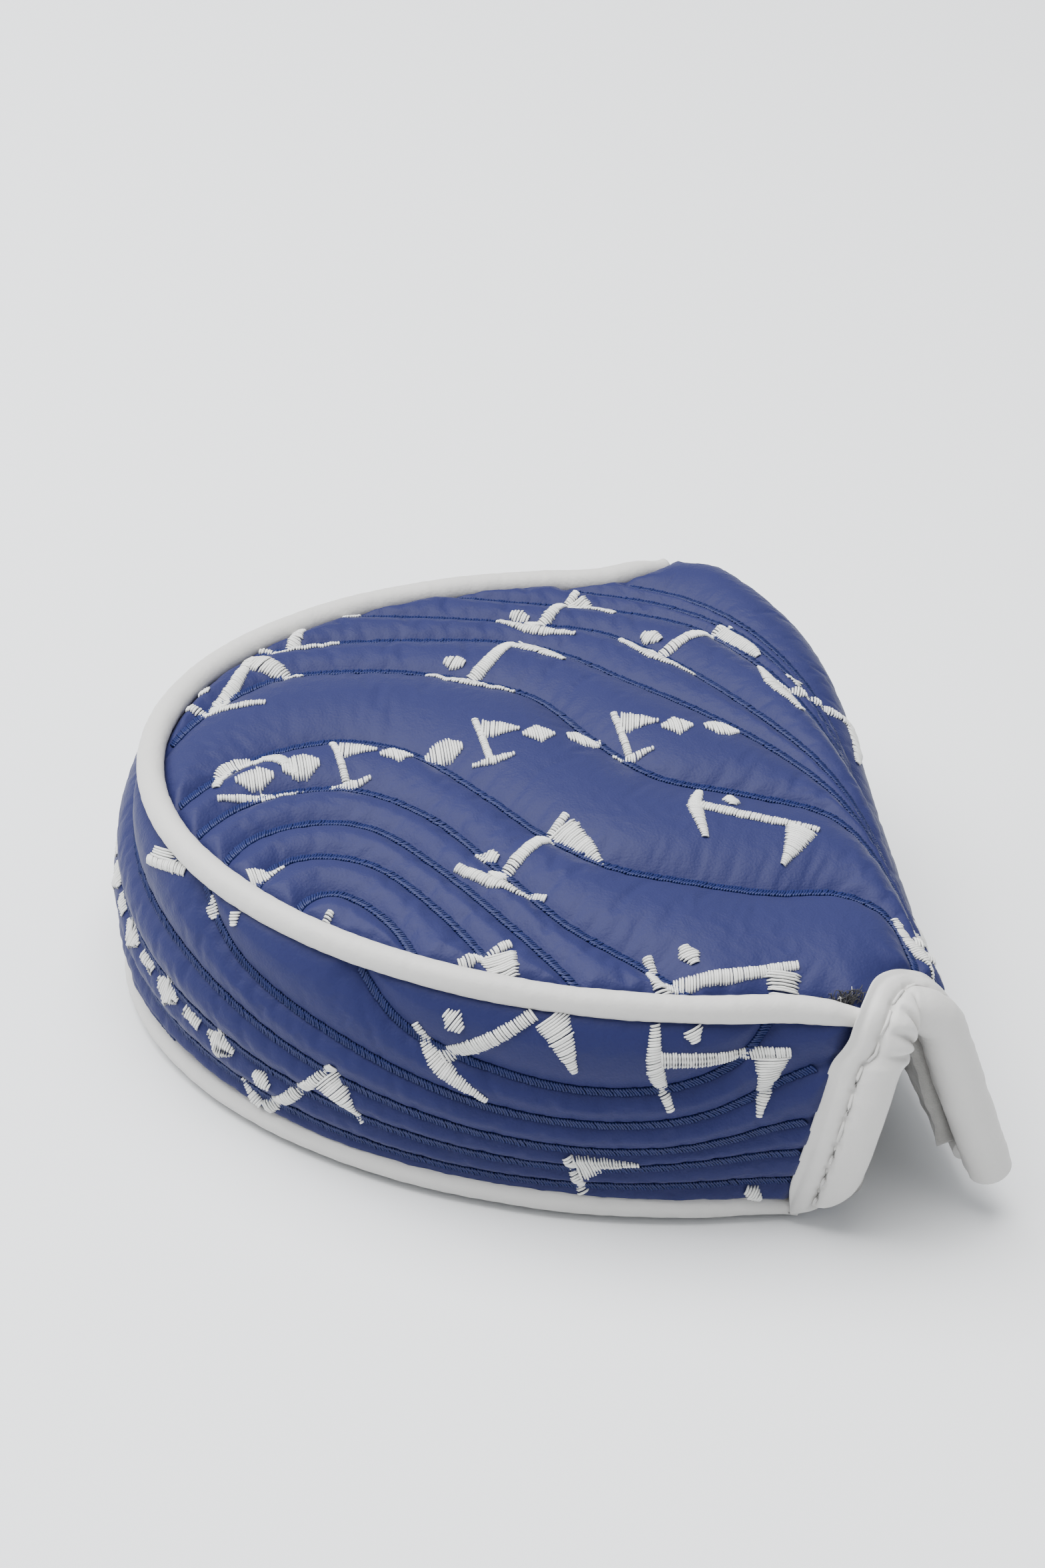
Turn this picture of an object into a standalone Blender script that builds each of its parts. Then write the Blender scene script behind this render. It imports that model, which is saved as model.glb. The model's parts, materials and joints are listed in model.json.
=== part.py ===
"""Mallet putter head cover: a D-shaped padded pouch with a crescent closing flap.

The pouch lies on its flat crown-side panel. +Z is up, the heel is at -Y, the toe at +Y,
the rounded back at -X and the open face side at +X. Every wall is a stack of leather,
foam and plush lining. The flap is the front of the top panel, folded down over the mouth.
Lengths below are in millimetres and are turned into metres as each mesh is made.
"""
import math

import bmesh
import bpy
import numpy as np
from mathutils import Matrix, Vector

MM = 0.001
COLLECTION = "putter_head_cover"

# Driving dimensions.
SEAM_HEIGHT = 36.0          # the top seam's piping above the flat underside
LOW_SEAM_HEIGHT = 3.0       # the bottom seam's piping above the flat underside
CROWN = 4.5                 # rise of the top panel over its seam
BACK_X = -55.0              # the seam at the middle of the rounded back
ROUND_X = 19.0              # where the rounded back turns into the two straight sides
HALF_WIDTH = 57.4           # half the seam's width from heel to toe, at ROUND_X
HEEL_FLARE = (21.0, 7.0)    # the heel side runs on this far and spreads this much
TOE_FLARE = (19.0, 8.8)     # the same on the toe side
BAND_BULGE = 3.0            # how far the side band bellies out at mid height
FOLD_X = 40.0               # the living hinge, where the top panel turns into the flap
LIP_X = 36.0                # front edge of the crown-side panel, without its binding
HEEL_CLEAR_X = 24.0         # from here forwards the crown-side panel clears the heel binding

# The wall, from its outer face inwards.
GAP = 0.3
LEATHER = 1.2
FOAM = 3.0
LINING = 2.2
FLOOR_FOAM = 2.5            # the crown-side panel's foam, pressed thinner than the rest
FOAM_DEPTH = LEATHER + GAP
LINING_DEPTH = FOAM_DEPTH + FOAM + GAP
WALL = LINING_DEPTH + LINING

# Piping: a cord in a sewn leather tube.
PIPING_RADIUS = 2.5
PIPING_SKIN = 0.9
CORD_RADIUS = 1.2
SEAM_INSET = PIPING_RADIUS + GAP

# Binding round the mouth.
BINDING_WIDTH = 8.0
BINDING_THICK = 4.0
LIP_BINDING_WIDTH = 4.0
LIP_BINDING_HEIGHTS = (0.6, 5.9)
HEEL_EDGE_TOP_X = 32.0      # where the heel binding meets the band at the top seam
HEEL_EDGE_LOW_X = 28.0      # and at the bottom seam
HEEL_CORNER_CUT = 4.0       # the binding's lower corner is rounded off by this much
HEEL_CORNER_RISE = 7.0      # over this height
TOE_EDGE_X = 33.0
TOE_BINDING_WIDTH = 5.0

# The flap: radius of the fold, the angle it turns through, and the flap's length from the fold,
# at stations from heel to toe.
FLAP_STATIONS = (
    (-62.0, 8.0, 66.0, 33.2),
    (-20.0, 8.0, 66.0, 31.0),
    (0.0, 10.0, 64.0, 25.5),
    (20.0, 14.0, 58.0, 20.5),
    (40.0, 19.0, 44.0, 15.5),
    (52.0, 20.0, 27.0, 9.5),
    (62.0, 20.0, 8.0, 3.2),
)
FLAP_HEEL_Y = -53.0         # where the flap's heel binding starts
FLAP_TOE_Y = 60.0
TOP_TOE_Y = 62.0

# The shaft's notch in the crown-side panel.
NOTCH_Y = -30.0
NOTCH_HALF_WIDTH = 9.0
NOTCH_DEPTH = 14.0

# Closing magnets.
MAGNET_RADIUS = 6.0
MAGNET_THICK = 1.8
LIP_MAGNET = (28.0, -6.0)
FLAP_MAGNET = (-6.0, 18.0)   # its place along Y, and its distance from the fold

# Colours: base colour, roughness, metallic.
BLUE_LEATHER = ("blue_leather", (0.055, 0.085, 0.30), 0.55, 0.0)
GREY_LEATHER = ("grey_leather", (0.66, 0.65, 0.62), 0.5, 0.0)
PLUSH = ("plush_lining", (0.60, 0.59, 0.57), 0.95, 0.0)
PADDING = ("padding_foam", (0.78, 0.76, 0.70), 0.9, 0.0)
CORD = ("piping_cord", (0.72, 0.70, 0.64), 0.9, 0.0)
STEEL = ("magnet_steel", (0.6, 0.6, 0.62), 0.3, 1.0)


# ---------------------------------------------------------------- shape of the pouch

def seam_outline():
    """Plan of both seams as a dense polyline from the heel, round the back, to the toe."""
    run = np.linspace(1.0, 0.0, 24, endpoint=False)
    heel = [(ROUND_X + HEEL_FLARE[0] * r, -HALF_WIDTH - HEEL_FLARE[1] * r * r) for r in run]
    turn = np.linspace(0.0, math.pi, 240)
    reach = ROUND_X - BACK_X
    back = [(ROUND_X - reach * math.sin(t), -HALF_WIDTH * math.cos(t)) for t in turn]
    toe = [(ROUND_X + TOE_FLARE[0] * r, HALF_WIDTH + TOE_FLARE[1] * r * r) for r in 1 - run]
    end = [(ROUND_X + TOE_FLARE[0], HALF_WIDTH + TOE_FLARE[1])]
    return np.array(heel + back + toe[1:] + end)


OUTLINE = seam_outline()
STEPS = np.linalg.norm(np.diff(OUTLINE, axis=0), axis=1)
ALONG = np.concatenate([[0.0], np.cumsum(STEPS)])
MIDDLE = ALONG[-1] / 2


def seam_point(along):
    """Point on the seam outline at a distance along it, and the outward direction there."""
    here = np.array([np.interp(along, ALONG, OUTLINE[:, k]) for k in (0, 1)])
    ahead = np.array([np.interp(along + 0.5, ALONG, OUTLINE[:, k]) for k in (0, 1)])
    behind = np.array([np.interp(along - 0.5, ALONG, OUTLINE[:, k]) for k in (0, 1)])
    run = (ahead - behind) / np.linalg.norm(ahead - behind)
    return here, np.array([-run[1], run[0]])


def along_at_x(x, side):
    """Distance along the outline where its heel or toe side has this x."""
    if side == "heel":
        part = ALONG < MIDDLE
        return float(np.interp(-x, -OUTLINE[part, 0], ALONG[part]))
    part = ALONG >= MIDDLE
    return float(np.interp(x, OUTLINE[part, 0], ALONG[part]))


def half_width(x, y):
    """Half width of the outline at x, on the side that y is on."""
    run, spread = HEEL_FLARE if y < 0 else TOE_FLARE
    return HALF_WIDTH + spread * (max(x - ROUND_X, 0.0) / run) ** 2


def crown_height(x, y):
    """Height of the top panel's outer face."""
    back = min(x - ROUND_X, 0.0) / (ROUND_X - BACK_X)
    rim = min(back * back + (y / half_width(x, y)) ** 2, 1.0)
    return SEAM_HEIGHT + CROWN * (1.0 - rim)


def band_bulge(height):
    """How far the side band stands out of the seam outline at this height."""
    share = (height - LOW_SEAM_HEIGHT) / (SEAM_HEIGHT - LOW_SEAM_HEIGHT)
    return BAND_BULGE * math.sin(math.pi * min(max(share, 0.0), 1.0))


def heel_edge_x(height):
    share = (height - LOW_SEAM_HEIGHT) / (SEAM_HEIGHT - LOW_SEAM_HEIGHT)
    return HEEL_EDGE_LOW_X + (HEEL_EDGE_TOP_X - HEEL_EDGE_LOW_X) * share


def flap_shape(y):
    """(fold radius, turn in radians, length) of the flap at y, smooth through the stations."""
    table = np.array(FLAP_STATIONS)
    slopes = np.gradient(table[:, 1:], table[:, 0], axis=0)
    i = int(np.clip(np.searchsorted(table[:, 0], y) - 1, 0, len(table) - 2))
    span = table[i + 1, 0] - table[i, 0]
    t = (y - table[i, 0]) / span
    start = (2 * t ** 3 - 3 * t ** 2 + 1) * table[i, 1:] + (t ** 3 - 2 * t ** 2 + t) * span * slopes[i]
    end = (3 * t ** 2 - 2 * t ** 3) * table[i + 1, 1:] + (t ** 3 - t ** 2) * span * slopes[i + 1]
    radius, turn, length = start + end
    return radius, math.radians(turn), length


def flap_point(run, y, depth):
    """Point of the flap at a distance from the fold, this deep under its outer face."""
    radius, turn, _ = flap_shape(y)
    angle = min(run / radius, turn)
    straight = max(run - radius * turn, 0.0)
    x = FOLD_X + radius * math.sin(angle) + straight * math.cos(angle)
    z = crown_height(FOLD_X, y) - radius * (1 - math.cos(angle)) - straight * math.sin(angle)
    return np.array([x - depth * math.sin(angle), y, z - depth * math.cos(angle)])


# ---------------------------------------------------------------- making objects

def clear_scene():
    for obj in list(bpy.data.objects):
        bpy.data.objects.remove(obj, do_unlink=True)


def new_collection(name):
    made = bpy.data.collections.new(name)
    bpy.context.scene.collection.children.link(made)
    return made


def material(finish):
    name, colour, roughness, metallic = finish
    made = bpy.data.materials.get(name)
    if made is None:
        made = bpy.data.materials.new(name)
        made.use_nodes = True
        shader = made.node_tree.nodes["Principled BSDF"]
        shader.inputs["Base Color"].default_value = (*colour, 1.0)
        shader.inputs["Roughness"].default_value = roughness
        shader.inputs["Metallic"].default_value = metallic
    return made


def add_object(name, data, finish, collection):
    obj = bpy.data.objects.new(name, data)
    collection.objects.link(obj)
    data.materials.append(material(finish))
    return obj


def grid_object(name, rows, finish, collection, thickness):
    """An open sheet through rows of points, thickened inwards with Solidify."""
    mesh = bpy.data.meshes.new(name)
    bm = bmesh.new()
    lines = [[bm.verts.new(Vector(p) * MM) for p in row] for row in rows]
    for near, far in zip(lines, lines[1:]):
        for j in range(len(near) - 1):
            bm.faces.new((near[j], far[j], far[j + 1], near[j + 1]))
    bm.to_mesh(mesh)
    bm.free()
    obj = add_object(name, mesh, finish, collection)
    wall = obj.modifiers.new("wall", "SOLIDIFY")
    wall.thickness = thickness * MM
    wall.offset = -1.0
    mesh.shade_smooth()
    return obj


def loft_object(name, rings, finish, collection):
    """A closed body through rings of points, with flat ends."""
    mesh = bpy.data.meshes.new(name)
    bm = bmesh.new()
    lines = [[bm.verts.new(Vector(p) * MM) for p in ring] for ring in rings]
    for near, far in zip(lines, lines[1:]):
        for j in range(len(near)):
            k = (j + 1) % len(near)
            bm.faces.new((near[j], far[j], far[k], near[k]))
    bm.faces.new(lines[0])
    bm.faces.new(lines[-1])
    bmesh.ops.recalc_face_normals(bm, faces=bm.faces)
    bm.to_mesh(mesh)
    bm.free()
    mesh.shade_smooth()
    mesh.set_sharp_from_angle(angle=math.radians(40))
    return add_object(name, mesh, finish, collection)


def plate_object(name, points, low, high, finish, collection):
    """A flat plate with this plan, between two heights."""
    mesh = bpy.data.meshes.new(name)
    bm = bmesh.new()
    face = bm.faces.new([bm.verts.new((x * MM, y * MM, low * MM)) for x, y in points])
    grown = bmesh.ops.extrude_face_region(bm, geom=[face])
    raised = [e for e in grown["geom"] if isinstance(e, bmesh.types.BMVert)]
    bmesh.ops.translate(bm, verts=raised, vec=(0.0, 0.0, (high - low) * MM))
    bmesh.ops.recalc_face_normals(bm, faces=bm.faces)
    bm.to_mesh(mesh)
    bm.free()
    return add_object(name, mesh, finish, collection)


def swept_object(name, path, radius, finish, collection, skin=None):
    """A round cord along a path, or with a skin thickness, an open-ended tube."""
    curve = bpy.data.curves.new(name, "CURVE")
    curve.dimensions = "3D"
    curve.bevel_depth = radius * MM
    curve.bevel_resolution = 2
    curve.use_fill_caps = skin is None
    spline = curve.splines.new("POLY")
    spline.points.add(len(path) - 1)
    for point, place in zip(spline.points, path):
        point.co = (*(Vector(place) * MM), 1.0)
    obj = add_object(name, curve, finish, collection)
    if skin is not None:
        wall = obj.modifiers.new("wall", "SOLIDIFY")
        wall.thickness = skin * MM
        wall.offset = -1.0
    return obj


def cut_magnet_seat(target, place, normal, cutters):
    """A round hole through the foam for a disc magnet."""
    bpy.ops.mesh.primitive_cylinder_add(
        vertices=24, radius=(MAGNET_RADIUS + GAP) * MM, depth=4 * FOAM * MM,
        location=Vector(place) * MM,
    )
    cutter = bpy.context.object
    cutter.name = target.name + "_magnet_seat"
    cutter.rotation_euler = Vector(normal).to_track_quat("Z", "Y").to_euler()
    cutter.hide_render = True
    cutter.display_type = "WIRE"
    for owner in list(cutter.users_collection):
        owner.objects.unlink(cutter)
    cutters.objects.link(cutter)
    seat = target.modifiers.new("magnet_seat", "BOOLEAN")
    seat.operation = "DIFFERENCE"
    seat.object = cutter


def magnet(name, place, normal, collection):
    mesh = bpy.data.meshes.new(name)
    bm = bmesh.new()
    bmesh.ops.create_cone(
        bm, cap_ends=True, segments=24, depth=MAGNET_THICK * MM,
        radius1=MAGNET_RADIUS * MM, radius2=MAGNET_RADIUS * MM,
    )
    bm.to_mesh(mesh)
    bm.free()
    obj = add_object(name, mesh, STEEL, collection)
    obj.location = Vector(place) * MM
    obj.rotation_euler = Vector(normal).to_track_quat("Z", "Y").to_euler()
    return obj


# ---------------------------------------------------------------- the pouch

def top_rows(depth, inset):
    """The top panel as a fan from the fold line to the seam, this deep under its outer face."""
    first = along_at_x(HEEL_EDGE_TOP_X, "heel")
    last = along_at_x(LIP_X, "toe")
    rows = []
    for share in np.linspace(0.0, 1.0, 30):
        fold = np.array([FOLD_X - GAP / 2 - 0.1 * depth, FLAP_HEEL_Y + (TOP_TOE_Y - FLAP_HEEL_Y) * share])
        rim, out = seam_point(first + (last - first) * share)
        rim = rim - out * inset
        row = []
        for part in np.linspace(0.0, 1.0, 7):
            x, y = fold + (rim - fold) * part
            row.append((x, y, crown_height(x, y) - depth))
        rows.append(row)
    return rows


def band_rows(depth, low, high):
    """The side band from its heel edge to its toe edge, between two heights."""
    rows = []
    for share in np.linspace(0.0, 1.0, 38):
        row = []
        for height in np.linspace(high, low, 5):
            first = along_at_x(heel_edge_x(height), "heel")
            last = along_at_x(TOE_EDGE_X, "toe")
            place, out = seam_point(first + (last - first) * share)
            x, y = place + out * (band_bulge(height) - depth)
            row.append((x, y, height))
        rows.append(row)
    return rows


def arc_points(centre, radius, start, stop, count):
    """Points on a circle, angles in degrees."""
    angles = np.radians(np.linspace(start, stop, count))
    return [(centre[0] + radius * math.cos(a), centre[1] + radius * math.sin(a)) for a in angles]


def notch_edge(front, half, corner):
    """The notch's edge from heel to toe: two round corners and a round end."""
    end_x = LIP_X + LIP_BINDING_WIDTH - NOTCH_DEPTH + NOTCH_HALF_WIDTH
    heel = arc_points((front - corner, NOTCH_Y - half - corner), corner, 0, 90, 5)
    end = arc_points((end_x, NOTCH_Y), half, 270, 90, 13)
    toe = arc_points((front - corner, NOTCH_Y + half + corner), corner, 270, 360, 5)
    return heel + end + toe


def bottom_plan(inset, front):
    """Plan of the crown-side panel: the seam outline, cut straight at the front, with the notch."""
    first = along_at_x(HEEL_CLEAR_X, "heel")
    last = along_at_x(front - 2.0, "toe")
    points = []
    for share in np.linspace(0.0, 1.0, 46):
        place, out = seam_point(first + (last - first) * share)
        points.append(tuple(place - out * inset))
    toe_y = points[-1][1] - 2.0
    heel_y = points[0][1] + 1.5
    half = NOTCH_HALF_WIDTH + LIP_BINDING_WIDTH + GAP
    return points + [(front, toe_y)] + notch_edge(front, half, 2.0)[::-1] + [(front, heel_y)]


def lip_binding_plan():
    """A strip along the front edge and round the notch."""
    front = LIP_X + LIP_BINDING_WIDTH
    heel_y = 3.0 - HALF_WIDTH
    toe_y = HALF_WIDTH + 1.0
    outer = [(front, heel_y)] + notch_edge(front, NOTCH_HALF_WIDTH, 6.0) + [(front, toe_y)]
    back = LIP_X + GAP
    half = NOTCH_HALF_WIDTH + LIP_BINDING_WIDTH
    inner = [(back, toe_y)] + notch_edge(back, half, 2.3)[::-1] + [(back, heel_y)]
    return outer + inner


def strip_rings(inner_line, edge_line, thick, fold_ring=None, round_off=1.2):
    """Rings of a folded strip from its sewn line to the mouth's edge. The ring at the fold stands upright."""
    inner_line = np.array(inner_line, float)
    edge_line = np.array(edge_line, float)
    middle = (inner_line + edge_line) / 2
    rings = []
    for i in range(len(middle)):
        ahead = middle[min(i + 1, len(middle) - 1)] - middle[max(i - 1, 0)]
        across = edge_line[i] - inner_line[i]
        width = np.linalg.norm(across)
        across = across / width
        out = np.cross(across, ahead)
        out = np.array([0.0, 0.0, 1.0]) if i == fold_ring else out / np.linalg.norm(out)
        profile = (
            (0.0, 0.0), (width - round_off, 0.0), (width, -round_off),
            (width, round_off - thick), (width - round_off, -thick), (0.0, -thick),
        )
        rings.append([inner_line[i] + across * a + out * b for a, b in profile])
    return rings


def build_pouch(collection, cutters):
    top = SEAM_HEIGHT - WALL - GAP
    low = LOW_SEAM_HEIGHT + SEAM_INSET
    floor = LEATHER + GAP + FLOOR_FOAM + GAP + LINING + GAP
    grid_object("top_panel", top_rows(0.0, SEAM_INSET), BLUE_LEATHER, collection, LEATHER)
    grid_object("top_padding", top_rows(FOAM_DEPTH, SEAM_INSET + GAP), PADDING, collection, FOAM)
    grid_object("top_lining", top_rows(LINING_DEPTH, SEAM_INSET + GAP), PLUSH, collection, LINING)
    high = SEAM_HEIGHT - SEAM_INSET
    grid_object("side_band", band_rows(0.0, low, high), BLUE_LEATHER, collection, LEATHER)
    grid_object("side_padding", band_rows(FOAM_DEPTH, floor, top), PADDING, collection, FOAM)
    grid_object("side_lining", band_rows(LINING_DEPTH, floor, top), PLUSH, collection, LINING)

    foam_low = LEATHER + GAP
    foam_high = foam_low + FLOOR_FOAM
    plan = bottom_plan(SEAM_INSET, LIP_X)
    plate_object("bottom_panel", plan, 0.0, LEATHER, BLUE_LEATHER, collection)
    foam = plate_object("bottom_padding", plan, foam_low, foam_high, PADDING, collection)
    plate_object("bottom_lining", plan, foam_high + GAP, foam_high + GAP + LINING, PLUSH, collection)
    plate_object("lip_binding", lip_binding_plan(), *LIP_BINDING_HEIGHTS, GREY_LEATHER, collection)
    seat = (*LIP_MAGNET, (foam_low + foam_high) / 2)
    cut_magnet_seat(foam, seat, (0, 0, 1), cutters)
    magnet("lip_magnet", seat, (0, 0, 1), collection)

    build_seam_piping(collection, "top", SEAM_HEIGHT, HEEL_EDGE_TOP_X, LIP_X)
    build_seam_piping(collection, "bottom", LOW_SEAM_HEIGHT, HEEL_EDGE_LOW_X, TOE_EDGE_X)
    build_heel_binding(collection)
    build_toe_binding(collection)


def build_seam_piping(collection, seam, height, heel_x, toe_x):
    first = along_at_x(heel_x, "heel")
    last = along_at_x(toe_x, "toe")
    path = []
    for share in np.linspace(0.0, 1.0, 44):
        place, _ = seam_point(first + (last - first) * share)
        path.append((*place, height))
    swept_object(seam + "_piping_cover", path, PIPING_RADIUS, GREY_LEATHER, collection, PIPING_SKIN)
    swept_object(seam + "_piping_cord", path, CORD_RADIUS, CORD, collection)


def build_heel_binding(collection):
    """Up the heel edge of the band, round the end of the top seam and on to the fold."""
    inner = []
    edge = []
    for height in np.linspace(LOW_SEAM_HEIGHT + 0.5, SEAM_HEIGHT - 6.0, 6):
        along = along_at_x(heel_edge_x(height) + GAP, "heel")
        place, out = seam_point(along)
        run = np.array([out[1], -out[0]])
        place = place + out * band_bulge(height)
        lower_turn = HEEL_CORNER_CUT * max(0.0, 1 - (height - LOW_SEAM_HEIGHT) / HEEL_CORNER_RISE) ** 2
        inner.append((*place, height))
        edge.append((*(place - run * (BINDING_WIDTH - lower_turn)), height))
    start = np.array(inner[-1])
    inner += [
        (HEEL_EDGE_TOP_X + 1.2, start[1] + 0.4, SEAM_HEIGHT - 1.5),
        (HEEL_EDGE_TOP_X + 2.8, -58.2, SEAM_HEIGHT + 0.8),
        (HEEL_EDGE_TOP_X + 5.0, -55.8, SEAM_HEIGHT + 1.3),
        (FOLD_X - GAP / 2, FLAP_HEEL_Y - GAP, crown_height(FOLD_X, FLAP_HEEL_Y)),
    ]
    edge += [
        (38.9, -63.0, SEAM_HEIGHT - 2.6),
        (38.9, -62.6, SEAM_HEIGHT - 0.4),
        (39.1, -61.9, SEAM_HEIGHT + 0.8),
        (FOLD_X - GAP / 2, FLAP_HEEL_Y - BINDING_WIDTH, crown_height(FOLD_X, FLAP_HEEL_Y)),
    ]
    rings = strip_rings(inner, edge, BINDING_THICK, fold_ring=len(inner) - 1)
    loft_object("heel_binding", rings, GREY_LEATHER, collection)


def build_toe_binding(collection):
    inner = []
    edge = []
    for height in np.linspace(LOW_SEAM_HEIGHT + SEAM_INSET, SEAM_HEIGHT - WALL - 2 * GAP, 6):
        place, out = seam_point(along_at_x(TOE_EDGE_X + GAP, "toe"))
        run = np.array([out[1], -out[0]])
        place = place + out * band_bulge(height)
        inner.append((*place, height))
        edge.append((*(place + run * TOE_BINDING_WIDTH), height))
    rings = strip_rings(inner[::-1], edge[::-1], BINDING_THICK)
    loft_object("toe_binding", rings, GREY_LEATHER, collection)


# ---------------------------------------------------------------- the flap

def flap_rows(depth):
    rows = []
    for y in np.linspace(FLAP_TOE_Y, FLAP_HEEL_Y, 24):
        _, _, length = flap_shape(y)
        runs = GAP + (length - GAP) * np.linspace(0.0, 1.0, 12) ** 1.6
        rows.append([flap_point(run, y, depth) for run in runs])
    return rows


def flap_normal(run, y):
    return flap_point(run, y, -1.0) - flap_point(run, y, 0.0)


def build_flap(collection, cutters):
    made = [
        grid_object("flap_panel", flap_rows(0.0), BLUE_LEATHER, collection, LEATHER),
        grid_object("flap_padding", flap_rows(FOAM_DEPTH), PADDING, collection, FOAM),
        grid_object("flap_lining", flap_rows(LINING_DEPTH), PLUSH, collection, LINING),
    ]
    y, run = FLAP_MAGNET
    seat = flap_point(run, y, FOAM_DEPTH + FOAM / 2)
    normal = flap_normal(run, y)
    cut_magnet_seat(made[1], seat, normal, cutters)
    made.append(magnet("flap_magnet", seat, normal, collection))

    path = []
    for y in np.linspace(FLAP_TOE_Y, FLAP_HEEL_Y + 2 * GAP, 36):
        _, _, length = flap_shape(y)
        path.append(flap_point(length + SEAM_INSET, y, WALL / 2))
    made.append(swept_object(
        "flap_piping_cover", path, PIPING_RADIUS, GREY_LEATHER, collection, PIPING_SKIN))
    made.append(swept_object("flap_piping_cord", path, CORD_RADIUS, CORD, collection))

    heel_y = FLAP_HEEL_Y - GAP
    _, _, length = flap_shape(heel_y)
    runs = np.linspace(GAP / 2, length + SEAM_INSET, 12)
    inner = [flap_point(run, heel_y, 0.0) for run in runs]
    edge = [flap_point(run, FLAP_HEEL_Y - BINDING_WIDTH, 0.0) for run in runs]
    rings = strip_rings(inner, edge, BINDING_THICK, fold_ring=0)
    made.append(loft_object("flap_binding", rings, GREY_LEATHER, collection))

    hinge = bpy.data.objects.new("flap_hinge", None)
    hinge.location = Vector((FOLD_X, 0.0, SEAM_HEIGHT + CROWN + GAP)) * MM
    collection.objects.link(hinge)
    for obj in made:
        obj.parent = hinge
        obj.matrix_parent_inverse = Matrix.Translation(-hinge.location)


def main():
    clear_scene()
    collection = new_collection(COLLECTION)
    cutters = new_collection(COLLECTION + "_cutters")
    build_pouch(collection, cutters)
    build_flap(collection, cutters)


main()
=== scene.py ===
"""Looks of the mallet putter head cover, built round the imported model.

The cover lies on its flat crown-side panel, heel at -Y, toe at +Y, rounded back at -X. The quilted
cover leather is one sheet from the top seam, over the fold, to the flap's free edge. It is laid out
flat in two numbers: p, the distance from the back towards the face and on down the flap, and y.
The side band is laid out in a, the distance along the seam from the heel, and z, the height.
Lengths are in millimetres until a mesh is made.
"""
import json
import math

import bpy
import numpy as np
from bpy.props import FloatProperty, FloatVectorProperty, PointerProperty
from bpy.types import Operator, Panel, PropertyGroup
from mathutils import Matrix, Vector
from mathutils.geometry import delaunay_2d_cdt
from mathutils.kdtree import KDTree


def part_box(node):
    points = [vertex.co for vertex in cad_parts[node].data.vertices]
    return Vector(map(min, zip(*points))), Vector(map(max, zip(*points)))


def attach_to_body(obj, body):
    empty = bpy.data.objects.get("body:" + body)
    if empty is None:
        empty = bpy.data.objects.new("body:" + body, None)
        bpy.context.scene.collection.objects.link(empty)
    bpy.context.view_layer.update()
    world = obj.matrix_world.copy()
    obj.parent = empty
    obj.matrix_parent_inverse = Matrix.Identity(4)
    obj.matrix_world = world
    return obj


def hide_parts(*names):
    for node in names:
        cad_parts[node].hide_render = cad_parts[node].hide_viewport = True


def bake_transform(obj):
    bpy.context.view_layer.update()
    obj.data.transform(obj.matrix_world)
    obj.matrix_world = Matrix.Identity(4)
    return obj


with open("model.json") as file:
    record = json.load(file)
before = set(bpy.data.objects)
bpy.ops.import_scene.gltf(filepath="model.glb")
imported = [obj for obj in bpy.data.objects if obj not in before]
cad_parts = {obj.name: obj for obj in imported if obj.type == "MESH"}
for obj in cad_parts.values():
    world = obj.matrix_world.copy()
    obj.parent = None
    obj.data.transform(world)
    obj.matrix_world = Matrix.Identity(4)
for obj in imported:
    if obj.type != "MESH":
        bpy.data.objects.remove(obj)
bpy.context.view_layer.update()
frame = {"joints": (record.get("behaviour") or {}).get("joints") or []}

bl_info = {
    "name": "Quilted Putter Head Cover",
    "version": (1, 0, 0),
    "blender": (4, 5, 0),
    "location": "3D View > Sidebar > Head Cover",
    "description": "Builds the quilted leather, embroidery, piping, binding and plush lining",
    "category": "Object",
}

MM = 0.001


def node_box(node):
    """Lowest and highest corner of a CAD node, in millimetres."""
    low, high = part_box(node)
    return np.array(low) / MM, np.array(high) / MM


# ---------------------------------------------------------------- sizes from the frame

TOP_PIPE = node_box("top_piping_cover")
LOW_PIPE = node_box("bottom_piping_cover")
PIPING_RADIUS = (TOP_PIPE[1][2] - TOP_PIPE[0][2]) / 2
SEAM_Z = (TOP_PIPE[1][2] + TOP_PIPE[0][2]) / 2
LOW_SEAM_Z = (LOW_PIPE[1][2] + LOW_PIPE[0][2]) / 2
BACK_X = TOP_PIPE[0][0] + PIPING_RADIUS
CROWN = node_box("top_panel")[1][2] - SEAM_Z
FOLD_X = frame["joints"][0]["pos_m"][0] / MM
LIP_X = node_box("bottom_panel")[1][0]
LIP_EDGE_X = node_box("lip_binding")[1][0]
FLAP_HEEL_Y = node_box("flap_panel")[0][1]
FLAP_TOE_Y = node_box("flap_panel")[1][1]
FLOOR_TOP = node_box("bottom_lining")[1][2]

# The shape of the sewn pattern. FLAP_STATIONS gives y, fold radius, turn in degrees and flap length.
ROUND_X = 19.0
HALF_WIDTH = 57.4
HEEL_FLARE = (21.0, 7.0)
TOE_FLARE = (19.0, 8.8)
BAND_BULGE = 3.0
HEEL_EDGE_X = (28.0, 32.0)
TOE_EDGE_X = 33.0
WALL_LEATHER = 4.5
LINING_DEPTH = 4.8
LINING_THICK = 2.2
BINDING_WIDTH = 8.0
BINDING_THICK = 4.0
FLAP_STATIONS = (
    (-62.0, 8.0, 66.0, 33.2),
    (-20.0, 8.0, 66.0, 31.0),
    (0.0, 10.0, 64.0, 25.5),
    (20.0, 14.0, 58.0, 20.5),
    (40.0, 19.0, 44.0, 15.5),
    (52.0, 20.0, 27.0, 9.5),
    (62.0, 20.0, 8.0, 3.2),
)
NOTCH_Y = -30.0
NOTCH_HALF = 9.0
NOTCH_DEPTH = 14.0

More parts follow.
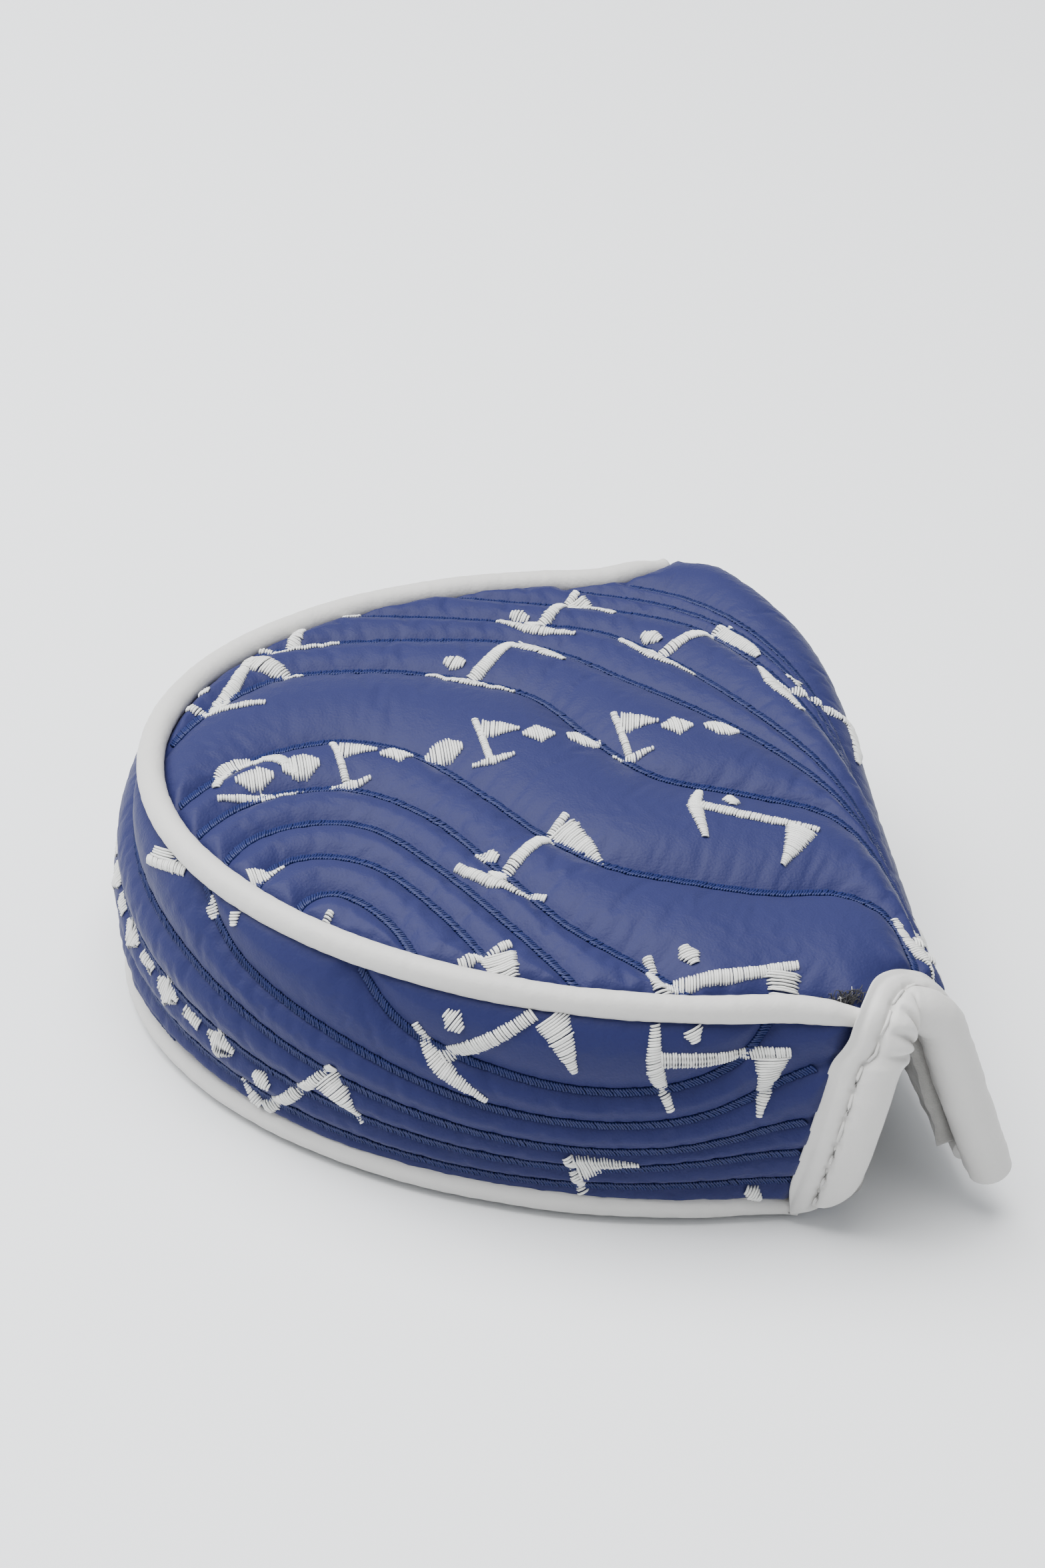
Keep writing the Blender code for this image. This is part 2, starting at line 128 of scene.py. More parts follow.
# Quilting lines on the cover leather, in (p, y).
COVER_LINES = (
    ((28, 55), (36, 48), (43, 36), (49, 20), (53, 4), (58, -14), (64, -34), (70, -51)),
    ((18, 54), (31, 47), (40, 36), (46, 21), (50, 5), (55, -13), (60, -34), (64, -52)),
    ((-6, 54), (10, 49), (24, 45), (34, 38), (41, 25), (46, 10), (51, -8), (56, -30), (59, -52)),
    ((-22, 48), (-6, 45), (10, 41), (20, 37), (28, 27), (36, 12), (42, -2), (48, -20), (53, -37), (55, -52)),
    ((-47, 25), (-38, 34), (-24, 38), (-8, 37), (4, 35), (12, 30), (19, 22), (28, 12), (36, 1), (43, -13),
     (49, -31), (51, -52)),
    ((-53, 9), (-44, 20), (-32, 28), (-18, 28), (-6, 24), (4, 17), (10, 4), (17, -6), (29, -11), (40, -17),
     (46, -31), (47, -52)),
    ((-53, -5), (-45, 2), (-36, 7), (-26, 8), (-17, 3), (-9, -9), (-3, -19), (5, -27), (15, -31), (26, -34),
     (36, -35), (42, -41), (43, -52)),
    ((-52, -13), (-45, -7), (-37, -4), (-27, -5), (-18, -13), (-11, -26), (-4, -39), (4, -48), (11, -56)),
    ((-50, -21), (-43, -14), (-34, -12), (-26, -15), (-19, -25), (-12, -38), (-6, -50), (-4, -56)),
    ((-47, -28), (-41, -21), (-34, -20), (-27, -24), (-21, -34), (-16, -46), (-14, -54)),
    ((-43, -35), (-38, -29), (-33, -29), (-28, -36), (-25, -47)),
)
# Quilting lines on the side band, in (a, z).
BAND_LINES = (
    ((20, 36), (25, 29), (33, 25), (44, 23.5), (56, 24.5), (70, 28), (80, 36)),
    ((8, 31), (18, 26), (30, 20), (44, 18), (60, 19), (78, 23), (96, 28), (108, 36)),
    ((2, 24), (16, 19), (34, 14), (56, 13.5), (80, 17), (104, 23), (126, 28), (146, 36)),
    ((2, 17), (20, 13), (46, 9.5), (76, 11), (108, 16), (140, 22), (168, 27), (188, 36)),
    ((2, 10), (24, 7.5), (60, 5.8), (98, 8), (136, 14), (172, 20), (204, 27), (216, 36)),
    ((80, 3), (104, 4.5), (138, 8), (172, 13), (204, 19), (222, 26)),
    ((130, 3), (160, 6), (190, 10), (222, 16)),
)

# Pin-flag motifs: place, turn in degrees and size. Cover places are (p, y), band places (a, z).
COVER_FLAGS = (
    (0, 28, -32, 1.0), (32, 33, -48, 1.0), (13, 44, -30, 0.9), (-39, 27, -20, 0.95), (-6, -23, -36, 1.0),
    (28, -20, -102, 0.95), (-22, -46, -62, 1.05), (16, -52, -75, 1.05), (-46, -31, 40, 1.0),
    (50, 18, -80, 1.0), (60, -28, 20, 1.0), (52, -44, -70, 0.9), (-26, 44, -10, 0.9),
)
BAND_FLAGS = (
    (84, 12, -28, 0.95), (57, 31, -40, 1.05), (27, 30, -76, 1.0), (43, 4, 32, 0.95), (14, 6, -38, 0.9),
    (108, 34, 120, 1.0), (152, 28, 20, 1.0), (178, 12, -40, 1.0), (206, 22, 60, 0.95), (228, 10, 20, 0.9),
)
COVER_ROW = ((-41.0, 0.0), (29.0, 4.5))
BAND_ROW = ((97.0, 13.0), (142.0, 21.0))

# Motifs as satin-stitched strokes: places on the middle line, then the widths along it.
PIN_FLAG = (
    (((-1.6, -8.6), (0.2, -1.0), (1.7, 8.8)), (2.3, 1.9, 1.3)),
    (((2.1, 6.2), (5.8, 5.0), (10.0, 3.2)), (5.0, 3.0, 0.8)),
    (((-7.0, -8.6), (-1.0, -9.6), (6.2, -8.4)), (1.2, 2.4, 1.0)),
    (((-6.0, -4.0), (-4.6, -3.9), (-3.2, -3.8)), (1.3, 2.9, 1.3)),
)
BALL = (
    (((-2.6, 0.0), (-1.2, 0.0), (1.2, 0.0), (2.6, 0.0)), (1.6, 5.0, 5.0, 1.6)),
)
SMALL_FLAG = (
    (((-1.5, -4.2), (-1.0, 4.8)), (1.0, 0.9)),
    (((-0.6, 2.4), (2.0, 1.9), (4.4, 1.3)), (5.0, 3.0, 0.7)),
    (((-4.0, -4.4), (-1.2, -4.8), (1.8, -4.6)), (0.6, 1.7, 0.6)),
)
SUNRISE = (
    (((-5.6, -1.6), (-3.6, 2.8), (0.4, 4.4), (4.2, 2.6), (5.8, -1.6)), (1.2, 2.2, 2.5, 2.2, 1.2)),
    (((-2.6, -1.2), (-1.2, -1.2), (1.2, -1.2), (2.6, -1.2)), (1.4, 4.6, 4.6, 1.4)),
    (((-6.0, -4.4), (0.0, -4.7), (6.2, -4.4)), (0.8, 1.5, 0.8)),
)
DIAMOND = (
    (((-2.3, 0.0), (0.0, 0.0), (2.3, 0.0)), (0.8, 5.0, 0.8)),
)
DASH = (
    (((-1.5, 0.0), (1.5, 0.0)), (1.7, 1.7)),
)
COVER_ROW_MOTIFS = (SUNRISE, BALL) + (SMALL_FLAG, DIAMOND, BALL) * 3
BAND_ROW_MOTIFS = (DIAMOND, DASH) * 4 + (DIAMOND,)


# ---------------------------------------------------------------- settings

class HeadCoverSizes(PropertyGroup):
    puff: FloatProperty(
        name="Puff", description="How far the padding swells between quilting lines, in millimetres",
        default=1.7, min=0.0, max=4.0)
    line_width: FloatProperty(
        name="Quilting line", description="Width of the satin-stitched quilting lines, in millimetres",
        default=1.3, min=0.5, max=4.0)
    thread_pitch: FloatProperty(
        name="Thread pitch", description="Distance between neighbouring threads, in millimetres",
        default=0.4, min=0.2, max=1.0)
    topstitch_pitch: FloatProperty(
        name="Topstitch pitch", description="Length of one stitch of the binding, in millimetres",
        default=4.4, min=2.0, max=8.0)


class HeadCoverColours(PropertyGroup):
    leather: FloatVectorProperty(
        name="Cover leather", description="Colour of the quilted leather", subtype="COLOR",
        default=(0.0105, 0.0135, 0.073), min=0.0, max=1.0)
    trim: FloatVectorProperty(
        name="Trim leather", description="Colour of the piping and binding", subtype="COLOR",
        default=(0.56, 0.55, 0.53), min=0.0, max=1.0)
    plush: FloatVectorProperty(
        name="Plush", description="Colour of the lining", subtype="COLOR",
        default=(0.40, 0.39, 0.37), min=0.0, max=1.0)
    line_thread: FloatVectorProperty(
        name="Line thread", description="Colour of the quilting thread", subtype="COLOR",
        default=(0.003, 0.009, 0.070), min=0.0, max=1.0)
    mark_thread: FloatVectorProperty(
        name="Mark thread", description="Colour of the embroidered motifs", subtype="COLOR",
        default=(0.70, 0.70, 0.675), min=0.0, max=1.0)


def sizes():
    return bpy.context.scene.head_cover_sizes


def colours():
    return bpy.context.scene.head_cover_colours


# ---------------------------------------------------------------- curves and distances

def smooth_line(points, step=0.25):
    """A smooth curve through given points, as evenly spaced places."""
    points = np.array(points, float)
    first = 2 * points[0] - points[1]
    last = 2 * points[-1] - points[-2]
    padded = np.vstack([first, points, last])
    parts = []
    for i in range(1, len(padded) - 2):
        a, b, c, d = padded[i - 1:i + 3]
        t = np.linspace(0, 1, 40, endpoint=False)[:, None]
        parts.append(0.5 * (2 * b + (c - a) * t + (2 * a - 5 * b + 4 * c - d) * t ** 2
                            + (3 * b - a - 3 * c + d) * t ** 3))
    dense = np.vstack(parts + [points[-1:]])
    return even_line(dense, step)


def lengths_along(line):
    """The distance along a line to each of its places."""
    return np.concatenate([[0], np.cumsum(np.linalg.norm(np.diff(line, axis=0), axis=1))])


def resampled(line, count):
    """The same line as this many evenly spaced places."""
    along = lengths_along(line)
    wanted = np.linspace(0, along[-1], count)
    return np.stack([np.interp(wanted, along, line[:, k]) for k in range(line.shape[1])], 1)


def even_line(line, step):
    """The same line with places about this far apart."""
    return resampled(line, max(int(lengths_along(line)[-1] / step), 2) + 1)


def line_directions(line):
    run = np.gradient(line, axis=0)
    return run / np.linalg.norm(run, axis=1)[:, None]


def flat_tree(places):
    """A search tree of the places of a flat layout."""
    tree = KDTree(len(places))
    for i, place in enumerate(places):
        tree.insert((place[0], place[1], 0.0), i)
    tree.balance()
    return tree


class Nearness:
    """Distances in the flat layout to a set of places."""

    def __init__(self, places):
        self.tree = flat_tree(places)

    def distance(self, places):
        find = self.tree.find
        flat = np.asarray(places, float).reshape(-1, 2)
        found = np.fromiter((find((a, b, 0.0))[2] for a, b in flat), float, len(flat))
        return found.reshape(np.shape(places)[:-1])


def soft_noise(a, b, scale, seed):
    """Smooth waves between -1 and 1 that don't visibly repeat."""
    rng = np.random.default_rng(seed)
    total = np.zeros(np.shape(a))
    for _ in range(14):
        angle = rng.uniform(0, math.pi)
        wave = scale * rng.uniform(0.6, 1.7)
        phase = rng.uniform(0, 2 * math.pi)
        total = total + np.sin((np.cos(angle) * a + np.sin(angle) * b) * 2 * math.pi / wave + phase)
    return total / 5.0


# ---------------------------------------------------------------- the sewn shape

def seam_outline():
    run = np.linspace(1.0, 0.0, 60, endpoint=False)
    turn = np.linspace(0.0, math.pi, 500)
    heel = np.stack([ROUND_X + HEEL_FLARE[0] * run, -HALF_WIDTH - HEEL_FLARE[1] * run ** 2], 1)
    back = np.stack([ROUND_X - (ROUND_X - BACK_X) * np.sin(turn), -HALF_WIDTH * np.cos(turn)], 1)
    rise = 1 - run[1:]
    toe = np.stack([ROUND_X + TOE_FLARE[0] * rise, HALF_WIDTH + TOE_FLARE[1] * rise ** 2], 1)
    end = [[ROUND_X + TOE_FLARE[0], HALF_WIDTH + TOE_FLARE[1]]]
    return even_line(np.vstack([heel, back, toe, end]), 0.25)


OUTLINE = seam_outline()
ALONG = lengths_along(OUTLINE)
RUNS = line_directions(OUTLINE)


def seam_place(along):
    """Places on the seam outline and the outward directions there."""
    along = np.asarray(along, float)
    place = np.stack([np.interp(along, ALONG, OUTLINE[:, k]) for k in (0, 1)], -1)
    run = np.stack([np.interp(along, ALONG, RUNS[:, k]) for k in (0, 1)], -1)
    run = run / np.linalg.norm(run, axis=-1, keepdims=True)
    return place, np.stack([-run[..., 1], run[..., 0]], -1)


def along_at_x(x, side):
    half = ALONG < ALONG[-1] / 2
    if side == "heel":
        return np.interp(-np.asarray(x, float), -OUTLINE[half, 0], ALONG[half])
    return np.interp(x, OUTLINE[~half, 0], ALONG[~half])


def rim_share(x, y):
    """0 in the middle of the top panel and 1 at its seam."""
    back = np.minimum(x - ROUND_X, 0) / (ROUND_X - BACK_X)
    reach = np.where(y < 0, HEEL_FLARE[0], TOE_FLARE[0])
    spread = np.where(y < 0, HEEL_FLARE[1], TOE_FLARE[1])
    side = HALF_WIDTH + spread * (np.maximum(x - ROUND_X, 0) / reach) ** 2
    return back ** 2 + (y / side) ** 2


def crown_height(x, y):
    return SEAM_Z + CROWN * (1 - np.minimum(rim_share(x, y), 1))


def flap_shape(y):
    """Fold radius, turn in radians and length of the flap at y."""
    table = np.array(FLAP_STATIONS)
    slopes = np.gradient(table[:, 1:], table[:, 0], axis=0)
    y = np.asarray(y, float)
    i = np.clip(np.searchsorted(table[:, 0], y) - 1, 0, len(table) - 2)
    span = table[i + 1, 0] - table[i, 0]
    t = ((y - table[i, 0]) / span)[..., None]
    span = span[..., None]
    made = ((2 * t ** 3 - 3 * t ** 2 + 1) * table[i, 1:] + (t ** 3 - 2 * t ** 2 + t) * span * slopes[i]
            + (3 * t ** 2 - 2 * t ** 3) * table[i + 1, 1:] + (t ** 3 - t ** 2) * span * slopes[i + 1])
    return made[..., 0], np.radians(made[..., 1]), made[..., 2]


def cover_base(p, y):
    """The cover's even outer surface, before padding."""
    p, y = np.broadcast_arrays(np.asarray(p, float), np.asarray(y, float))
    radius, turn, _ = flap_shape(y)
    x = np.minimum(p, FOLD_X)
    run = np.maximum(p - FOLD_X, 0)
    angle = np.minimum(run / radius, turn)
    straight = np.maximum(run - radius * turn, 0)
    z = crown_height(x, y) - radius * (1 - np.cos(angle)) - straight * np.sin(angle)
    return np.stack([x + radius * np.sin(angle) + straight * np.cos(angle), y, z], -1)


def band_share(z):
    """0 at the side band's bottom seam and 1 at its top seam."""
    return (z - LOW_SEAM_Z) / (SEAM_Z - LOW_SEAM_Z)


def heel_edge_x(share):
    """Where the band's heel end stands at this share of its height."""
    return HEEL_EDGE_X[0] + (HEEL_EDGE_X[1] - HEEL_EDGE_X[0]) * share


def band_base(a, z):
    """The side band's even outer surface."""
    a, z = np.broadcast_arrays(np.asarray(a, float), np.asarray(z, float))
    place, out = seam_place(a)
    share = np.clip(band_share(z), 0, 1)
    place = place + out * (BAND_BULGE * np.sin(math.pi * share))[..., None]
    return np.concatenate([place, z[..., None]], -1)


def normals_of(base, a, b, facing):
    """Outward directions of a laid-out surface."""
    step = 0.15
    along_a = base(a + step, b) - base(a - step, b)
    along_b = base(a, b + step) - base(a, b - step)
    out = np.cross(along_a, along_b) * facing
    return out / np.linalg.norm(out, axis=-1, keepdims=True)


class Surface:
    """A laid-out leather panel: its base shape, which side of it faces out, and its relief."""

    def __init__(self, base, facing, relief):
        self.base = base
        self.facing = facing
        self.relief = relief

    def points(self, a, b, lift=0.0):
        out = normals_of(self.base, a, b, self.facing)
        rise = self.relief(a, b) + lift
        return self.base(a, b) + out * rise[..., None], out

    def even_points(self, a, b, lift):
        out = normals_of(self.base, a, b, self.facing)
        return self.base(a, b) + out * np.asarray(lift)[..., None], out


# ---------------------------------------------------------------- meshes and materials

def mesh_object(name, points, faces, material, smooth=True):
    mesh = bpy.data.meshes.new(name)
    points = np.asarray(points, np.float64).reshape(-1, 3) * MM
    mesh.from_pydata(points.tolist(), [], faces)
    mesh.materials.append(material)
    if smooth:
        mesh.shade_smooth()
    mesh.update()
    obj = bpy.data.objects.new(name, mesh)
    bpy.context.scene.collection.objects.link(obj)
    return obj


def grid_faces(index):
    """Four-sided faces between the neighbouring places of a grid."""
    return np.stack([index[:-1, :-1], index[1:, :-1], index[1:, 1:], index[:-1, 1:]], -1).reshape(-1, 4)


def slab_faces(rows, columns):
    """Faces of a closed slab between an outer and an inner grid of the same size."""
    outer = np.arange(rows * columns).reshape(rows, columns)
    inner = outer + rows * columns
    faces = [grid_faces(outer), grid_faces(inner)[:, [0, 3, 2, 1]]]
    for edge_out, edge_in, flip in (
        (outer[0], inner[0], False), (outer[-1], inner[-1], True),
        (outer[:, 0], inner[:, 0], True), (outer[:, -1], inner[:, -1], False),
    ):
        quad = [edge_out[:-1], edge_out[1:], edge_in[1:], edge_in[:-1]]
        quad = quad[::-1] if flip else quad
        faces.append(np.stack(quad, -1).reshape(-1, 4))
    return np.vstack(faces).tolist()


def slab_object(name, outer, inner, material):
    rows, columns = outer.shape[:2]
    points = np.concatenate([outer.reshape(-1, 3), inner.reshape(-1, 3)])
    return mesh_object(name, points, slab_faces(rows, columns), material)


def ring_faces(rings, sides):
    """Faces of a closed body lofted through rings, with its two ends closed."""
    index = np.arange(rings * sides).reshape(rings, sides)
    turned = np.roll(index, -1, axis=1)
    body = np.stack([index[:-1], index[1:], turned[1:], turned[:-1]], -1).reshape(-1, 4)
    return body.tolist() + [index[0].tolist(), index[-1][::-1].tolist()]


def node_group(name, inputs, outputs):
    """An empty shader group with named number inputs and outputs."""
    group = bpy.data.node_groups.new(name, "ShaderNodeTree")
    for label, value in inputs:
        socket = group.interface.new_socket(name=label, in_out="INPUT", socket_type="NodeSocketFloat")
        socket.default_value = value
    for label in outputs:
        group.interface.new_socket(name=label, in_out="OUTPUT", socket_type="NodeSocketFloat")
    return group, group.nodes.new("NodeGroupInput"), group.nodes.new("NodeGroupOutput")


def maths(tree, operation, first, second=None, clamp=False):
    node = tree.nodes.new("ShaderNodeMath")
    node.operation = operation
    node.use_clamp = clamp
    for socket, value in zip(node.inputs, (first, second)):
        if isinstance(value, (int, float)):
            socket.default_value = value
        elif value is not None:
            tree.links.new(value, socket)
    return node.outputs[0]


def texture(tree, kind, vector, scale, **settings):
    node = tree.nodes.new(kind)
    tree.links.new(vector, node.inputs["Vector"])
    if isinstance(scale, (int, float)):
        node.inputs["Scale"].default_value = scale
    else:
        tree.links.new(scale, node.inputs["Scale"])
    for key, value in settings.items():
        if key in node.inputs:
            node.inputs[key].default_value = value
        else:
            setattr(node, key, value)
    return node


def leather_grain_group():
    """Pebbled grain and soft creases: Height, and Tone for colour and gloss."""
    group, given, made = node_group(
        "leather_grain", (("Pebble Scale", 2600.0), ("Crease Scale", 260.0), ("Crease", 0.5)),
        ("Height", "Tone"))
    place = group.nodes.new("ShaderNodeTexCoord").outputs["Object"]
    pebble = texture(group, "ShaderNodeTexVoronoi", place, given.outputs["Pebble Scale"],
                     feature="SMOOTH_F1", Smoothness=0.6)
    fine = texture(group, "ShaderNodeTexNoise", place, given.outputs["Pebble Scale"], Detail=3.0)
    crease = texture(group, "ShaderNodeTexNoise", place, given.outputs["Crease Scale"],
                     Detail=6.0, Roughness=0.62, Distortion=1.4)
    broad = texture(group, "ShaderNodeTexNoise", place, 45.0, Detail=2.0)
    folded = maths(group, "ABSOLUTE", maths(group, "SUBTRACT", crease.outputs["Fac"], 0.5))
    folded = maths(group, "MULTIPLY", folded, given.outputs["Crease"])
    height = maths(group, "ADD", maths(group, "MULTIPLY", pebble.outputs["Distance"], 0.55),
                   maths(group, "MULTIPLY", fine.outputs["Fac"], 0.45))
    height = maths(group, "ADD", height, maths(group, "MULTIPLY", folded, 4.0))
    tone = maths(group, "ADD", maths(group, "MULTIPLY", broad.outputs["Fac"], 0.7),
                 maths(group, "MULTIPLY", fine.outputs["Fac"], 0.3))
    group.links.new(height, made.inputs["Height"])
    group.links.new(tone, made.inputs["Tone"])
    return group


def thread_twist_group():
    """Fine twisted fibres: Height and Tone."""
    group, given, made = node_group("thread_twist", (("Fibre Scale", 5200.0),), ("Height", "Tone"))
    place = group.nodes.new("ShaderNodeTexCoord").outputs["Object"]
    fibre = texture(group, "ShaderNodeTexNoise", place, given.outputs["Fibre Scale"],
                    Detail=2.0, Distortion=1.0)
    patch = texture(group, "ShaderNodeTexNoise", place, 420.0, Detail=2.0)
    tone = maths(group, "ADD", maths(group, "MULTIPLY", fibre.outputs["Fac"], 0.5),
                 maths(group, "MULTIPLY", patch.outputs["Fac"], 0.5))
    group.links.new(fibre.outputs["Fac"], made.inputs["Height"])
    group.links.new(tone, made.inputs["Tone"])
    return group


def pile_group():
    """Short plush pile lying in soft patches: Height and Tone."""
    group, given, made = node_group("plush_pile", (("Pile Scale", 2400.0),), ("Height", "Tone"))
    place = group.nodes.new("ShaderNodeTexCoord").outputs["Object"]
    hairs = texture(group, "ShaderNodeTexNoise", place, given.outputs["Pile Scale"],
                    Detail=4.0, Roughness=0.7, Distortion=0.8)
    tufts = texture(group, "ShaderNodeTexNoise", place, 380.0, Detail=3.0, Distortion=1.6)
    height = maths(group, "ADD", maths(group, "MULTIPLY", hairs.outputs["Fac"], 0.5),
                   maths(group, "MULTIPLY", tufts.outputs["Fac"], 0.7))
    group.links.new(height, made.inputs["Height"])
    group.links.new(tufts.outputs["Fac"], made.inputs["Tone"])
    return group


def shaded(name, group, group_values, colour, other, roughness, bump, sheen=0.0, specular=0.5,
           metallic=0.0):
    """A material whose colour, roughness and bump follow a detail group."""
    material = bpy.data.materials.new(name)
    material.use_nodes = True
    tree = material.node_tree
    shader = tree.nodes["Principled BSDF"]
    detail = tree.nodes.new("ShaderNodeGroup")
    detail.node_tree = group
    for label, value in group_values.items():
        detail.inputs[label].default_value = value
    mix = tree.nodes.new("ShaderNodeMix")
    mix.data_type = "RGBA"
    mix.inputs["A"].default_value = (*colour, 1.0)
    mix.inputs["B"].default_value = (*other, 1.0)
    tree.links.new(detail.outputs["Tone"], mix.inputs["Factor"])
    tree.links.new(mix.outputs["Result"], shader.inputs["Base Color"])
    spread = tree.nodes.new("ShaderNodeMapRange")
    spread.inputs["To Min"].default_value = roughness[0]
    spread.inputs["To Max"].default_value = roughness[1]
    tree.links.new(detail.outputs["Tone"], spread.inputs["Value"])
    tree.links.new(spread.outputs["Result"], shader.inputs["Roughness"])
    relief = tree.nodes.new("ShaderNodeBump")
    relief.inputs["Distance"].default_value = bump[0] * MM
    relief.inputs["Strength"].default_value = bump[1]
    tree.links.new(detail.outputs["Height"], relief.inputs["Height"])
    tree.links.new(relief.outputs["Normal"], shader.inputs["Normal"])
    shader.inputs["Metallic"].default_value = metallic
    shader.inputs["Specular IOR Level"].default_value = specular
    shader.inputs["Sheen Weight"].default_value = sheen
    shader.inputs["Sheen Roughness"].default_value = 0.4
    return material


def scaled(colour, share):
    return tuple(min(c * share, 1.0) for c in colour)


def finishes():
    """Every material of the cover, made once."""
    if "cover_leather" in bpy.data.materials:
        return bpy.data.materials
    grain, twist, pile = leather_grain_group(), thread_twist_group(), pile_group()
    chosen = colours()
    blue, trim, plush = tuple(chosen.leather), tuple(chosen.trim), tuple(chosen.plush)
    line, mark = tuple(chosen.line_thread), tuple(chosen.mark_thread)
    shaded("cover_leather", grain, {"Crease": 0.55}, scaled(blue, 0.92), scaled(blue, 1.12),
           (0.50, 0.64), (0.10, 0.55), sheen=0.04, specular=0.24)
    shaded("trim_leather", grain, {"Pebble Scale": 1900.0, "Crease": 0.35}, scaled(trim, 0.96),
           scaled(trim, 1.04), (0.46, 0.58), (0.09, 0.5), specular=0.4)
    shaded("lining_plush", pile, {}, scaled(plush, 0.86), scaled(plush, 1.12), (0.9, 1.0), (0.35, 0.9),
           sheen=0.5, specular=0.15)
    shaded("line_thread", twist, {}, scaled(line, 0.7), scaled(line, 1.5), (0.42, 0.55), (0.05, 0.6),
           specular=0.4)
    shaded("mark_thread", twist, {}, scaled(mark, 0.93), scaled(mark, 1.06), (0.42, 0.55), (0.05, 0.5),
           sheen=0.2)
    shaded("trim_thread", twist, {}, scaled(trim, 0.9), scaled(trim, 1.06), (0.5, 0.6), (0.05, 0.6))
    shaded("magnet_nickel", grain, {"Crease": 0.1}, (0.56, 0.56, 0.58), (0.64, 0.64, 0.66),
           (0.22, 0.34), (0.02, 0.3), metallic=1.0)
    shaded("frayed_black", twist, {}, (0.01, 0.01, 0.012), (0.04, 0.04, 0.045), (0.6, 0.7), (0.03, 0.5))
    return bpy.data.materials


# ---------------------------------------------------------------- the quilted cover leather

COVER_INSET = 1.3
BAND_INSET = 1.0
CREASE_HEIGHT = -0.5
# The leather rises steeply beside a stitch line, then slowly on to the middle of a wide field.
STEEP_REACH, STEEP_POWER = 1.7, 1.35
SLOW_REACH, SLOW_SHARE = 8.0, 0.55
PUCKER_DEPTH, PUCKER_PLACE, PUCKER_REACH = 0.06, 1.6, 1.5
WRINKLE_DEPTH, UNEVENNESS, OPEN_REACH = 0.10, 0.16, 4.0
SEAM_TUCK, SEAM_TUCK_REACH = 0.9, 1.3


def puff_height(distance, puff):
    """Height of the padded leather this far from a seam or quilting line."""
    near = 1 - np.exp(-(distance / STEEP_REACH) ** STEEP_POWER)
    far = 1 - np.exp(-(distance / SLOW_REACH) ** 2)
    return CREASE_HEIGHT + puff * near + SLOW_SHARE * puff * far


def quilt_relief(lines, edges, puff, seed):
    """Relief of quilted leather, from its quilting lines and its sewn edges."""
    line_tree = Nearness(np.vstack(lines))
    edge_tree = Nearness(np.vstack(edges))

    def relief(a, b):
        places = np.stack(np.broadcast_arrays(np.asarray(a, float), np.asarray(b, float)), -1)
        to_line = line_tree.distance(places)
        to_edge = edge_tree.distance(places)
        near = np.minimum(to_line, to_edge)
        height = puff_height(near, puff)
        puckers = soft_noise(places[..., 0], places[..., 1], 3.4, seed)
        beside = np.exp(-((near - PUCKER_PLACE) / PUCKER_REACH) ** 2)
        wrinkles = np.abs(soft_noise(places[..., 0], places[..., 1], 5.0, seed + 1))
        open_field = 1 - np.exp(-(near / OPEN_REACH) ** 2)
        slow = soft_noise(places[..., 0], places[..., 1], 26.0, seed + 2)
        rise = (height + PUCKER_DEPTH * puckers * beside - WRINKLE_DEPTH * wrinkles * open_field
                + UNEVENNESS * slow * open_field)
        return rise - SEAM_TUCK * np.exp(-(to_edge / SEAM_TUCK_REACH) ** 2)

    return relief


def corner_line(points, step=0.5):
    return even_line(np.array(points, float), step)


def cover_edges(inset):
    """The four sides of the cover's flat layout: seam, free edge, heel side and toe side."""
    first, last = along_at_x(HEEL_EDGE_X[1], "heel"), along_at_x(LIP_X, "toe")
    place, out = seam_place(np.linspace(first, last, 600))
    seam = place - out * inset
    y = np.linspace(FLAP_HEEL_Y + 0.4, FLAP_TOE_Y, 300)
    free = np.stack([FOLD_X + flap_shape(y)[2] + 0.6, y], 1)
    heel = corner_line((seam[0], (34.4, -58.0), (36.6, -55.8), (39.0, -53.6), (41.5, FLAP_HEEL_Y + 0.4),
                        free[0]))
    toe = corner_line((seam[-1], (38.2, 63.6), (40.0, 62.0), free[-1]))
    return seam, free, heel, toe


def cover_grid(inset, columns, rows):
    """Places all over the cover's flat layout, rows running from the seam to the free edge."""
    seam, free, heel, toe = cover_edges(inset)
    seam, free = resampled(seam, columns), resampled(free, columns)
    heel, toe = resampled(heel, rows), resampled(toe, rows)
    s = np.linspace(0, 1, columns)[None, :, None]
    t = np.linspace(0, 1, rows)[:, None, None]
    across = (1 - t) * seam[None] + t * free[None]
    down = (1 - s) * heel[:, None] + s * toe[:, None]
    corners = ((1 - s) * (1 - t) * seam[0] + s * (1 - t) * seam[-1]
               + (1 - s) * t * free[0] + s * t * free[-1])
    return across + down - corners


def band_grid(columns, rows, low, high):
    """Places all over the side band's flat layout, from its top to its bottom."""
    z = np.linspace(high, low, rows)[:, None]
    share = np.clip(band_share(z), 0, 1)
    first = along_at_x(heel_edge_x(share), "heel")
    last = along_at_x(TOE_EDGE_X, "toe")
    part = np.linspace(0, 1, columns)[None, :]
    a = first + (last - first) * part
    return np.stack([a, np.broadcast_to(z, a.shape)], -1)


SIM_SCALE = 20.0 * MM
SIM_FRAMES = 18
MOST_SWELL = 1.0
CLOTH_STIFFNESS = 12.0
SPARE_CLOTH = 0.010
AIR_PRESSURE = 4.0
PIN_REACH = 0.9


